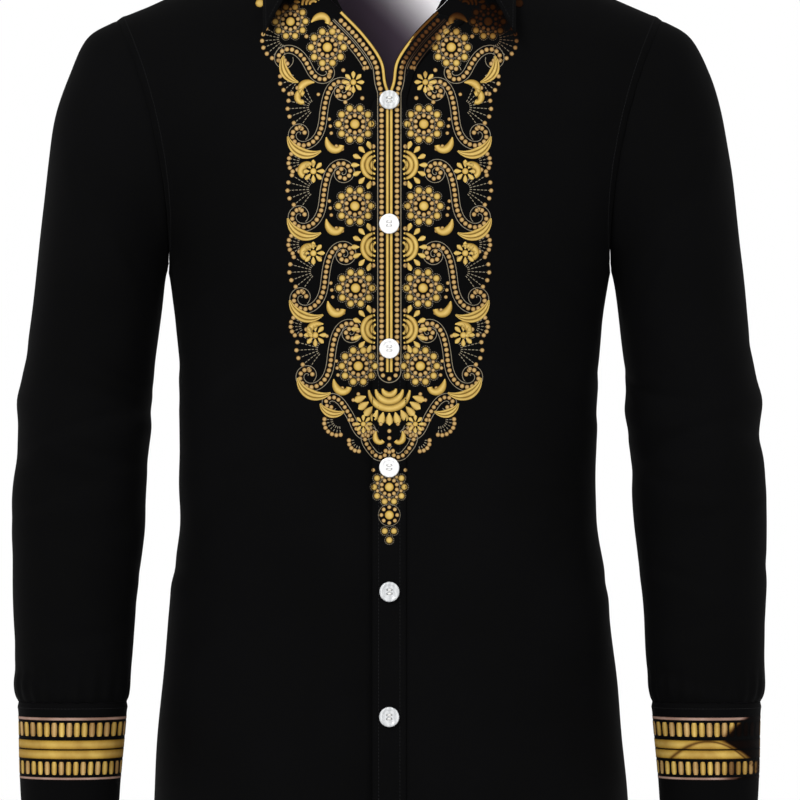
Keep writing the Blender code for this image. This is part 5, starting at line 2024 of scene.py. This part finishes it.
@dataclass(frozen=True)
class Sewing:
    """Machine stitches: short threads one after another on a line, each sunk at its ends."""

    pitch: float = 0.0028
    length: float = 0.0020
    radius: float = 0.00021
    sides: int = 6
    lift: float = 0.00006

    def stitch(self) -> tuple[Array, Array]:
        """One stitch along x: rings whose radius and height fall towards both ends."""
        along = np.array([-1.0, -0.8, -0.35, 0.35, 0.8, 1.0])
        turn = even_turns(self.sides)
        wide = self.radius * np.sqrt(np.maximum(1 - along**2, 0.05))
        up = -self.radius * 1.2 * along**4
        x = np.broadcast_to((along * self.length / 2)[:, None], (len(along), self.sides))
        y, z = wide[:, None] * np.cos(turn), wide[:, None] * np.sin(turn) + up[:, None]
        return together(x, y, z).reshape(-1, 3), grid_faces(len(along), self.sides, closed=True)

    def sew(self, name: str, lines: list[Array], thread: Material) -> Piece:
        """Sews along lines, all in one mesh. A stitch lies along the line and stands on the normal.

        Args:
            name: The piece's name.
            lines: Lines of points, each followed by its normal.
            thread: Its finish.

        Returns:
            The piece.
        """
        stitch, faces = self.stitch()
        found = []
        for line in lines:
            run = run_along(line[:, :3])
            at = np.arange(self.pitch / 2, run[-1], self.pitch)
            place = together(*(np.interp(at, run, values) for values in line.T))
            ahead = together(*(np.interp(at + self.pitch / 4, run, values) for values in line.T[:3]))
            up = unit(place[:, 3:])
            along = unit(ahead - place[:, :3] + 1e-9)
            along = unit(along - up * (along * up).sum(axis=1, keepdims=True))
            square = np.cross(up, along)
            frames = np.stack([along, square, up], axis=1)
            threads = np.einsum("pk,nkd->npd", stitch, frames)
            found.append(place[:, None, :3] + up[:, None] * self.lift + threads)
        points = np.concatenate(found).reshape(-1, 3)
        first = np.arange(len(points) // len(stitch))[:, None, None] * len(stitch)
        quads = (faces[None] + first).reshape(-1, 4)
        return add_object(name, new_mesh(name, points, quads.tolist()), [thread])


class RimStep(NamedTuple):
    """A step of a button's outline: its share of the radius and of the thickness."""

    out: float
    up: float


BUTTON_OUTLINE = table(
    RimStep,
    (0.60, 0.66),
    (0.66, 0.72),
    (0.71, 0.86),
    (0.76, 0.96),
    (0.82, 1.00),
    (0.89, 0.98),
    (0.95, 0.88),
    (0.99, 0.66),
    (1.00, 0.46),
    (0.98, 0.22),
    (0.92, 0.05),
    (0.82, 0.00),
)


@dataclass
class Button:
    """A sewn button: a raised rim round a shallow dish with four holes, and thread across them.

    The face is a fan of rings. A hole is where the dish drops to near the button's back.
    """

    node: str
    seat: Array
    facing: Array
    scale: float = 1.0
    rings: int = 26
    spokes: int = 88
    hole_place: float = 0.27
    hole_radius: float = 0.105
    hole_slope: float = 0.03
    hole_depth: float = 0.55
    dish: float = 0.06
    strand: float = 0.034
    strand_flatness: float = 3.0
    strand_sides: Floats = (-1.16, -0.84, 0.84, 1.16)

    def axes(self) -> Array:
        """The button's own directions: across, up its face and out of the cloth."""
        across = unit(np.cross((0.0, 0.0, 1.0), self.facing))
        return np.stack([across, np.cross(self.facing, across), self.facing])

    def place(self, local: Array) -> Array:
        """Local points, in shares of radius and thickness, in the scene."""
        size = np.array((BUTTON_RADIUS, BUTTON_RADIUS, BUTTON_THICKNESS)) * self.scale
        return self.seat + self.facing * SEWN_GAP + (local * size) @ self.axes()

    def holes(self) -> Array:
        """The middles of the four holes."""
        turn = math.pi / 4 + math.pi / 2 * np.arange(4)
        return self.hole_place * spokes(turn)

    def build(self, pearl: Material, thread: Material) -> Piece:
        """Makes the button and its thread one piece.

        Args:
            pearl: The button's finish.
            thread: The thread's.

        Returns:
            The piece.
        """
        inner = np.linspace(0.02, column(BUTTON_OUTLINE, "out")[0], self.rings)[:-1]
        out = np.concatenate([inner, column(BUTTON_OUTLINE, "out")])
        up = np.concatenate([0.66 - self.dish * (1 - (inner / 0.6) ** 2), column(BUTTON_OUTLINE, "up")])
        turn = even_turns(self.spokes)
        flat = out[:, None, None] * spokes(turn)[None]
        away = np.linalg.norm(flat[:, :, None] - self.holes()[None, None], axis=-1).min(axis=-1)
        sunk = 1 - ease((away - self.hole_radius) / self.hole_slope)
        height = np.broadcast_to(up[:, None], away.shape) - self.hole_depth * sunk
        local = np.concatenate([flat, height[..., None]], axis=-1).reshape(-1, 3)
        quads = grid_faces(len(out), self.spokes, flip=True, closed=True)
        ends = [list(range(self.spokes)), list(range(len(local) - self.spokes, len(local)))[::-1]]
        bars, bar_quads = self.thread_bars()
        points = np.concatenate([self.place(local), self.place(bars)])
        mesh = new_mesh(self.node, points, quads.tolist() + ends + (bar_quads + len(local)).tolist())
        finish = np.zeros(len(mesh.polygons), dtype=np.int32)
        finish[len(quads) + len(ends) :] = 1
        mesh.polygons.foreach_set("material_index", finish)
        return dress(add_object(self.node + "_sewn", mesh, [pearl, thread]), "pearl_button", self.node)

    def thread_bars(self) -> tuple[Array, Array]:
        """Four strands, two from hole to hole on each side, that bow over the dish."""
        corner = self.hole_place / math.sqrt(2)
        along = np.linspace(-1, 1, 11)
        turn = even_turns(8)
        points, faces = [], []
        for number, side in enumerate(self.strand_sides):
            height = 0.62 + 0.20 * (1 - along**2) - 0.30 * along**8
            x = np.broadcast_to((along * corner)[:, None], (len(along), len(turn)))
            y = side * corner + self.strand * np.cos(turn)[None, :] * np.ones_like(x)
            z = height[:, None] + self.strand * self.strand_flatness * np.sin(turn)[None, :]
            points.append(together(x, y, z).reshape(-1, 3))
            faces.append(grid_faces(len(along), len(turn), closed=True) + number * x.size)
        return np.concatenate(points), np.concatenate(faces)


def seated_button(node: str, carrier: Sheet, scale: float = 1.0) -> Button:
    """A button on the point of its cloth nearest the solid's middle, facing away from the cloth."""
    low, high = (np.array(corner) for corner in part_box(node))
    middle = (low + high) / 2
    nearest = np.linalg.norm(carrier.points - middle, axis=1).argmin()
    facing = carrier.normals()[nearest]
    facing = facing * np.sign((middle - carrier.points[nearest]) @ facing)
    return Button(node, carrier.points[nearest], facing, scale)


@dataclass(frozen=True)
class Cut:
    """How a piece was cut and how it is held: width, length and area of the flat cloth."""

    width: float
    length: float
    area: float
    held: str
    rests_on: tuple[str, ...] = ()


def stitch_lines(body: Body, cuffs: list[Cuff], fall: Array) -> dict[str, list[Array]]:
    """Where the shirt is topstitched, by piece.

    Args:
        body: The body's grids.
        cuffs: The cuffs.
        fall: The settled fall's grid of points and normals.

    Returns:
        Lines of points and normals.
    """
    low = LOWER_STEPS * body.fine
    halves = [grid for name, grid in body.grids.items() if name != "placket"]
    hems = [inset(grid.transpose(1, 0, 2), body.hem_width - HEM_STITCH) for grid in halves]
    armholes = [inset(grid[low:, ::-1], ARMHOLE_STITCH) for grid in halves]
    band = body.grids["placket"]
    turn = np.linspace(0.01, 2 * math.pi + CUFF_OVERLAP - 0.04, 300)
    rounds = []
    for cuff in cuffs:
        for down in (0.055, 0.935):
            line = cuff.points(turn, np.full_like(turn, down))
            raised = cuff.points(turn, np.full_like(turn, down), 0.001)
            rounds.append(np.concatenate([line, unit(raised - line)], axis=1))
    return {
        "hem": hems,
        "armholes": armholes,
        "band": [inset(band, BAND_STITCH), inset(band[:, ::-1], BAND_STITCH)],
        "cuffs": rounds,
        "collar": [
            inset(fall[::-1].transpose(1, 0, 2), COLLAR_STITCH),
            inset(fall, COLLAR_STITCH)[8:-2],
            inset(fall[:, ::-1], COLLAR_STITCH)[8:-2],
        ],
    }


@dataclass
class Studio:
    """A pale floor, soft lights, a white surround and the camera."""

    floor_z: float = -1.0
    floor_half: float = 4.0
    key_power: float = 130.0
    fill_power: float = 50.0
    spot_power: float = 31.0
    spot_angle: float = math.radians(9.5)
    seen_white: float = 1.0
    surround: float = 0.55

    def build(self) -> None:
        """Places everything that isn't the shirt."""
        self.add_floor()
        self.add_light("key", (-1.7, -2.9, 2.3), self.key_power, 1.6)
        self.add_light("fill", (2.2, -3.2, 0.2), self.fill_power, 2.4)
        self.add_spot("collar", (-0.22, -0.70, 0.42), (0.058, 0.10, -0.03))
        self.add_surround()
        self.add_camera()

    def add_floor(self) -> None:
        """A wide pale plane, well below the held shirt."""
        turns = ((-1, -1), (1, -1), (1, 1), (-1, 1))
        corners = [(x * self.floor_half, y * self.floor_half, self.floor_z) for x, y in turns]
        mesh = new_mesh("floor", np.array(corners), [(0, 1, 2, 3)])
        add_object("floor", mesh, [FloorFinish().material()])

    def add_spot(self, name: str, place: Triple, aim: Triple) -> None:
        """A narrow light with a wholly soft edge, through the neck's opening onto the back's inside."""
        data = bpy.data.lights.new(name, "SPOT")
        data.energy = self.spot_power
        data.spot_size = self.spot_angle
        data.spot_blend = 1.0
        data.shadow_soft_size = 0.03
        self.point(name, data, place, aim)

    def add_light(self, name: str, place: Triple, power: float, size: float) -> None:
        """A square soft light that faces the shirt's middle."""
        data = bpy.data.lights.new(name, "AREA")
        data.energy = power
        data.size = size
        self.point(name, data, place, (0.0, 0.0, CAMERA_Z))

    def point(self, name: str, data: bpy.types.Light, place: tuple, aim: tuple) -> None:
        """Puts a light at a place and turns it to face another one."""
        light = add_object(name, data)
        light.location = place
        toward = np.subtract(aim, place)
        level = math.hypot(toward[0], toward[1])
        heading = math.atan2(toward[1], toward[0])
        light.rotation_euler = (math.atan2(level, -toward[2]), 0, heading - math.pi / 2)

    def add_surround(self) -> None:
        """An even white light from all round, and a full white where the camera sees past the shirt."""
        world = bpy.data.worlds.new("surround")
        world.use_nodes = True
        tree = world.node_tree
        background = tree.nodes["Background"]
        background.inputs["Color"].default_value = (1, 1, 1, 1)
        rays = tree.nodes.new("ShaderNodeLightPath")
        strength = tree.nodes.new("ShaderNodeMapRange")
        strength.inputs["To Min"].default_value = self.surround
        strength.inputs["To Max"].default_value = self.seen_white
        tree.links.new(rays.outputs["Is Camera Ray"], strength.inputs["Value"])
        tree.links.new(strength.outputs["Result"], background.inputs["Strength"])
        bpy.context.scene.world = world
        bpy.context.scene.view_settings.view_transform = "Standard"

    def add_camera(self) -> None:
        """The photograph's view: level, straight at the front, from far off."""
        data = bpy.data.cameras.new("camera")
        data.sensor_width = SENSOR_MM
        data.lens = SENSOR_MM * -CAMERA_Y / VIEW_WIDTH
        data.clip_end = 50
        camera = add_object("camera", data)
        camera.location = (CAMERA_X, CAMERA_Y, CAMERA_Z)
        camera.rotation_euler = (math.pi / 2, 0, 0)
        bpy.context.scene.camera = camera


def sheet_object(name: str, sheets: list[Sheet]) -> Piece:
    """Sheets put together in one mesh, to lay other things on."""
    first = np.cumsum([0] + [len(sheet.points) for sheet in sheets[:-1]])
    faces = np.concatenate([sheet.faces + start for sheet, start in zip(sheets, first)])
    points = np.concatenate([sheet.points for sheet in sheets])
    return add_object(name, new_mesh(name, points, faces.tolist()))


@dataclass
class Shirt:
    """The whole shirt: its cloth, print, sewing and buttons."""

    body: Body = field(default_factory=Body)
    collar: Collar = field(default_factory=Collar)
    ornament: Ornament = field(default_factory=Ornament)
    cuffs: list[Cuff] = field(default_factory=lambda: [Cuff(side) for side in Side])
    sewing: Sewing = field(default_factory=Sewing)
    sheets: dict[str, Sheet] = field(default_factory=dict)
    cloth: list[Material] = field(default_factory=lambda: [COTTON.material(), WRONG_SIDE.material()])

    def build(self) -> None:
        """Builds it piece by piece."""
        self.add_cloth()
        self.add_collar()
        self.add_print()
        self.add_sewing()
        self.add_buttons()

    def add_sheet(self, sheet: Sheet, piece: Piece) -> None:
        """Keeps a sheet, and hides the solid that its piece stands for."""
        self.sheets[sheet.name] = sheet
        dress(piece, "black_cotton", sheet.name)

    def add_cloth(self) -> None:
        """The body, sleeves and cuffs."""
        self.body.build()
        sleeves = (
            Sleeve(Side.RIGHT, RIGHT_SLEEVE_FOLDS, RIGHT_SLEEVE_CREASES),
            Sleeve(Side.LEFT, LEFT_SLEEVE_FOLDS, LEFT_SLEEVE_CREASES),
        )
        sheets = list(self.body.sheets.values())
        sheets += [part.build() for part in (*sleeves, *self.cuffs)]
        for sheet in sheets:
            self.add_sheet(sheet, add_cloth(sheet, self.cloth))

    def add_collar(self) -> None:
        """The stand, and the fall laid on the body."""
        self.collar.build()
        self.add_sheet(self.collar.stand, add_cloth(self.collar.stand, self.cloth))
        fronts = joined("fronts", self.sheets["front_right"], self.sheets["front_left"])
        under = add_object("under", joined("whole", fronts, self.sheets["back"]).mesh())
        fall = add_object("collar_fall_cloth", self.collar.fall.mesh(), self.cloth)
        self.collar.lie_down(fall, under)
        bpy.data.objects.remove(under)
        self.collar.fall.points = mesh_points(fall)
        wall = fall.modifiers.new("wall", "SOLIDIFY")
        wall.thickness = THICKNESS
        wall.offset = -1
        self.add_sheet(self.collar.fall, fall)

    def add_print(self) -> None:
        """The gold ornament of the front and the cuffs' stripes."""
        paint = InkFinish().material()
        ornament = self.ornament
        ornament.build()
        front = ("front_right", "front_left", "placket")
        cloth = sheet_object("front", [self.sheets[name] for name in front])
        for name, ink, sides in (
            ("print_right", ornament.side, -1),
            ("print_left", ornament.side, 1),
            ("print_middle", ornament.middle, 1),
        ):
            dress(ornament.lay(name, ink, sides, cloth, paint), "black_cotton")
        bpy.data.objects.remove(cloth)
        for cuff in self.cuffs:
            dress(CuffStripes(cuff).build(paint), "black_cotton")

    def add_sewing(self) -> None:
        """The topstitching."""
        thread = ThreadFinish("black_thread", (0.004, 0.004, 0.0045)).material()
        columns = len(self.collar.fall.points) // self.collar.fall_rows
        fall = self.collar.fall.with_normals().reshape(self.collar.fall_rows, columns, 6)
        for name, lines in stitch_lines(self.body, self.cuffs, fall).items():
            dress(self.sewing.sew("stitches_" + name, lines, thread), "black_cotton")

    def add_buttons(self) -> None:
        """The nine buttons."""
        white = PearlFinish("white_pearl", (0.82, 0.82, 0.82), (0.70, 0.70, 0.71)).material()
        grey = PearlFinish("grey_pearl", (0.58, 0.59, 0.60), (0.44, 0.45, 0.46)).material()
        thread = ThreadFinish("white_thread", (0.55, 0.54, 0.52)).material()
        for number in range(1, FRONT_BUTTONS + 1):
            button = seated_button(f"button_{number}", self.sheets["placket"])
            button.build(white if number in WHITE_BUTTONS else grey, thread)
        for node, carrier in (
            ("button_stand", "collar_stand"),
            ("button_cuff_right", "cuff_right"),
            ("button_cuff_left", "cuff_left"),
        ):
            seated_button(node, self.sheets[carrier], SMALL_BUTTON_SCALE).build(grey, thread)


def main() -> None:
    """Builds the shirt's looks and the studio, and logs each piece's faces."""
    logging.basicConfig(level=logging.INFO, format="%(name)s %(message)s")
    Shirt().build()
    Studio().build()


if __name__ == "__main__":
    main()
